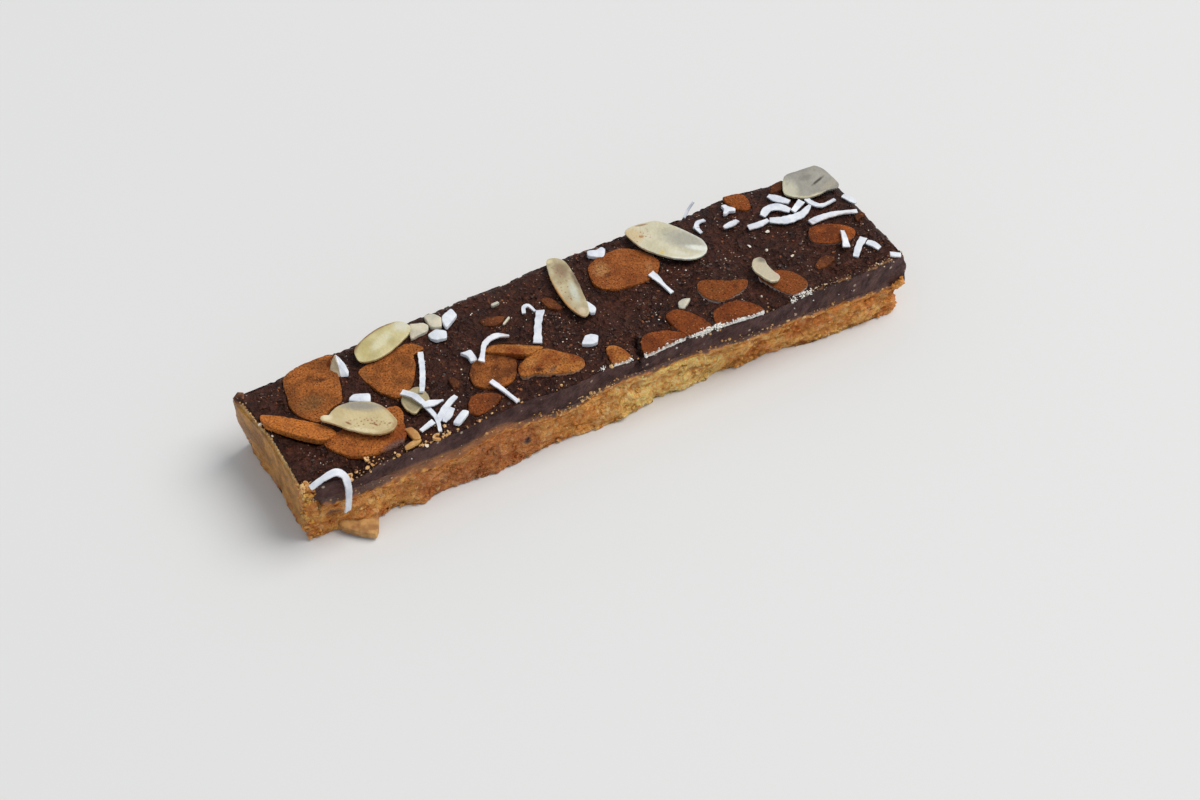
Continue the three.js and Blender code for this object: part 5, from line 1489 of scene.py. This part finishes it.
# %% Single pale dots: x, y and size
DOTS = np.array([(58.9, 7.3, 1.3), (51.8, 5.1, 1.1), (54.7, 1.3, 1.2), (59.4, -3.8, 1.3),
                 (43.9, -13.0, 1.0), (-54.0, -18.1, 1.3), (-85.9, 6.4, 1.2), (-85.4, 7.4, 0.8),
                 (-83.5, 6.9, 1.2), (-83.9, 5.2, 1.0), (-84.2, 3.8, 0.9), (-84.9, 1.8, 0.7)])
centres = np.c_[DOTS[:, :2], chocolate_top_height(DOTS[:, 0], DOTS[:, 1]) + 0.25]
points, faces = strewn(centres, DOTS[:, 2], rng)
make_piece("pale_dots", points, faces, pale_crumb, None, crease=50)

# %% [markdown]
# ## White kernel crumbs
# Where the knife went through the slices at the front, the brittle white kernel crumbled along the
# edge, and a few bits stuck to the cut chocolate below. Each cut slice gets its own short row.

# %% Rows of kernel crumbs: from and to x, count, height; then single ones at x and z
KERNEL_ROWS = [(-7.5, -3, 14, 18.5), (-1.5, 3.6, 30, 18.4), (7, 18.8, 70, 18.4), (20, 26.5, 80, 18.5),
               (23.5, 29.5, 170, 18.7), (28.6, 41.4, 90, 18.5), (49.8, 56.4, 110, 18.5)]
STUCK = [(65.2, 13.4), (69.2, 13.0), (57.2, 14.8), (51.2, 14.9), (37.4, 10.2), (16.4, 16.2),
         (-12.0, 12.4), (-58.0, 15.0)]
rng = np.random.default_rng(14)
rows = []
for x0, x1, count, high in KERNEL_ROWS:
    x = rng.uniform(x0, x1, count)
    inward = rng.normal(0.12, 0.28, count)
    z = high + rng.normal(-0.4, 0.4, count)
    rows.append(np.c_[x, front_edge(x) + inward, np.where(inward > 0.3, np.maximum(z, high), z)])
rows += [[(x, front_edge(np.array([x]))[0] - 0.1, z)] for x, z in STUCK]
centres = np.vstack(rows)
points, faces = strewn(centres, few_large(0.22, 0.5, len(centres), 2, rng), rng)
make_piece("kernel_crumbs", points, faces, white_crumb, None, crease=30)

# %% [markdown]
# ## Crumbs at the joint
# The knife also dragged golden crumbs along the joint under the chocolate, most of them left of the
# middle. Their heights scatter about the lower line of the chocolate, so they follow its bends.

# %% Crumbs that the knife dragged along the joint
rng = np.random.default_rng(15)
x = np.concatenate([rng.uniform(-78, 85, 90), rng.normal(-12, 9, 120), rng.uniform(18, 60, 60)])
z = chocolate_floor(x) - rng.normal(0.3, 0.9, len(x))
y = front_edge(x) - 0.12
points, faces = strewn(np.c_[x, y, z], few_large(0.25, 0.75, len(x), 2.2, rng), rng)
make_piece("joint_crumbs", points, faces, golden_crumb, None, crease=30)

# %% [markdown]
# ## Curled crumbs
# Three crumbs of caramelised sugar at the left curl like tiny rings. A lump can't show that, so they
# are short ribbons bent round most of a circle.

# %% Curled crumbs: x, y, radius and width
CURLS = [(-50.8, -17.2, 0.75, 0.7), (-73.9, -17.3, 0.8, 0.7), (-68.4, -15.4, 0.5, 0.5)]
swing = np.linspace(0.4, 1.7 * math.pi, 8)
made = []
for i, (x, y, radius, width) in enumerate(CURLS):
    z = chocolate_top_height(np.array([x]), np.array([y]))[0] + 0.55
    circle = [(x + radius * math.cos(a), y + radius * math.sin(a), z + 0.2 * math.sin(2 * a + i), width)
              for a in swing]
    made.append(ribbon(circle, 0.6, 240 + i, step=0.25))
points, faces = join(made)
make_piece("curled_crumbs", points, faces, golden_crumb, None, crease=50)

# %% [markdown]
# ## Crumbs of the base
# Single crumbs stand out of the broken shortbread all over its faces, are packed at the front left
# corner, and clot at the right end. They use the shortbread's own material, so each also carries the
# values that it reads, and they seem to be part of the base.

# %% Crumbs on the long faces
FACE_COUNT, CORNER_COUNT = 800, 130
rng = np.random.default_rng(13)
x = rng.uniform(-83, 84, FACE_COUNT)
up = rng.uniform(0.02, 0.95, FACE_COUNT) ** 1.3
top = chocolate_floor(x) - caramel_depth(x)
front_side = rng.uniform(0, 1, FACE_COUNT) < 0.62
foot_line = front_foot(x) + (front_edge(x) - front_foot(x)) * smooth(up * top / BAR_HEIGHT / 0.7)
y = np.where(front_side, foot_line + 0.1, back_edge(x) - 0.1)
z = up * top

# %% Crumbs at the corner, and the clot at the right end: x, y, z and size
CLOT = np.array([(85.4, -16.8, 8.6, 3.4), (86.2, -15.0, 7.8, 2.4), (84.2, -17.6, 8.0, 2.2),
                 (86.3, -16.6, 7.0, 1.8), (86.0, -16.8, 9.6, 1.3), (83.0, -17.6, 8.6, 1.4)])
corner_y = rng.uniform(-17.4, -14.6, CORNER_COUNT)
corner_x = -85.9 + 3.2 * rng.uniform(0, 1, CORNER_COUNT) ** 1.5
corner_y = np.where(corner_x > LEFT, front_edge(corner_x), corner_y)
corner_z = rng.uniform(0.6, 16.8, CORNER_COUNT)
sizes = few_large(0.35, 1.25, FACE_COUNT + CORNER_COUNT, 2.4, rng)
x = np.concatenate([x, corner_x, CLOT[:, 0]])
y = np.concatenate([y, corner_y, CLOT[:, 1]])
z = np.concatenate([z, corner_z, CLOT[:, 2]])
sizes = np.concatenate([sizes, CLOT[:, 3]])
points, faces = strewn(np.c_[x, y, np.maximum(z, 0.55 * sizes)], sizes, rng)
print("crumbs of the base:", len(sizes))

# %% The values that their material reads, one for each corner of each crumb
CORNERS = len(ICO)
soaked_share = np.where(x < -82.5, 0.1, soak(x))
pale_share = 0.35 * (rng.uniform(0, 1, len(x)) < 0.1)
nothing = np.zeros(len(points))
values = {"soaked": np.repeat(soaked_share, CORNERS), "blond": np.repeat(blond(x), CORNERS),
          "crevice_shade": nothing, "skin": nothing, "pale": np.repeat(pale_share, CORNERS)}
make_piece("shortbread_crumbs", points, faces, shortbread, "shortbread_base", values,
           crease=35)

# %% [markdown]
# ## The flake
# A flake of the base broke loose and juts out under the front left corner. It is a flat slab with a
# ragged outline, so it is made with the same rings as the chips, only larger and tilted a little.

# %% The flake that juts out at the front left
FLAKE = [(-78.6, -15.6), (-77.4, -19.6), (-74.4, -22.6), (-71.4, -25.0), (-70.0, -23.4), (-68.6, -20.6),
         (-68.4, -15.6)]
flake_look = crumb_material("flake", colour(214, 162, 98), colour(166, 114, 62), 0.55)
rings = [(0, 0), (0.5, 0.05), (0.85, 0.1), (0.97, 0.2), (1.0, 0.5), (1.0, 1.7), (0.5, 1.9), (0, 1.9)]
points, faces, _, _ = sheet(evenly(np.array(FLAKE), 60), 2.7, np.array((0.02, 0.06)), rings)
points[:, 2] += 0.2 * lumps(points, 2.0, 3, 230)
make_piece("shortbread_flake", points, faces, flake_look, "shortbread_base", crease=40)

# %% [markdown]
# ## Floor and light
# The setting is plain: a pale floor and soft light from one large, far lamp high on the right, so the
# floor stays evenly lit, and a pale bluish sky that fills the shadows. The colours are judged as
# displayed, so the Standard view transform is used, which doesn't bend them.

# %% Floor
floor_material, tree, shader, place = new_material("floor_finish", Specular_IOR_Level=0.2)
cast = use_group(tree, patches, Vector=place, Size=400.0, Low=0.2, High=0.8)["Mask"]
floor_tint = mix_colour(tree, cast, colour(226, 224, 222), colour(228, 226, 224))
finish_surface(tree, shader, floor_tint, 0.6, cast, 0.01)
FLOOR_HALF = 3  # metres from the middle to each side
mesh = bpy.data.meshes.new("floor")
corners = [(a * FLOOR_HALF, b * FLOOR_HALF, 0) for a, b in ((-1, -1), (1, -1), (1, 1), (-1, 1))]
mesh.from_pydata(corners, [], [(0, 1, 2, 3)])
mesh.materials.append(floor_material)
floor = bpy.data.objects.new("floor", mesh)
bpy.context.scene.collection.objects.link(floor)
floor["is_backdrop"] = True
print("floor side, m:", 2 * FLOOR_HALF)


# %% Lamp and sky
def lamp(name, where, size, power, tint):
    """A round lamp in metres and watts, aimed at the bar."""
    light = bpy.data.lights.new(name, "AREA")
    light.shape, light.size, light.energy, light.color = "DISK", size, power, tint
    made = bpy.data.objects.new(name, light)
    made.location = where
    made.rotation_euler = (-Vector(where)).to_track_quat("-Z", "Y").to_euler()
    bpy.context.scene.collection.objects.link(made)


LAMP_AT = (2.75, -0.3, 4.1)
lamp("softbox", LAMP_AT, 4.2, 200.0, (1.0, 0.97, 0.93))
sky = bpy.data.worlds.new("sky")
sky.use_nodes = True
sky.node_tree.nodes["Background"].inputs["Color"].default_value = (0.84, 0.93, 1.0, 1)
sky.node_tree.nodes["Background"].inputs["Strength"].default_value = 0.5
bpy.context.scene.world = sky
bpy.context.scene.view_settings.view_transform = "Standard"
print("lamp above the floor, m:", LAMP_AT[2])

# %% [markdown]
# ## Camera
# The camera stands where the photograph was taken from: about 31 degrees to the left of the front and
# 45 degrees up, a little over half a metre away. Its place and its three directions were fitted to
# the corners of the bar, so they are written as they came out, in the bar's millimetres.

# %% Camera
camera = bpy.data.objects.new("camera", bpy.data.cameras.new("camera"))
camera.data.sensor_width = 36.0
camera.data.lens = 67.5
camera.data.clip_start, camera.data.clip_end = 0.01, 20.0
looks = Vector((0.3648, 0.5983, -0.7134)).normalized()
right = Vector((0.8659, -0.4997, 0.0237)).normalized()
above = right.cross(looks)
stand = Matrix((right, above, -looks)).transposed().to_4x4()
stand.translation = Vector(to_frame((-209.6, -351.6, 407.5)))
camera.matrix_world = stand
bpy.context.scene.collection.objects.link(camera)
bpy.context.scene.camera = camera
print("camera to bar, mm:", round(camera.location.length * MM_PER_M))

# %% Sizes of the solids and of the dressed bar
low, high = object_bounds()
print("solids, mm:", [round(1000 * v, 1) for v in (*cad_low, *cad_high)])
print("dressed, mm:", [round(1000 * v, 1) for v in (*low, *high)])
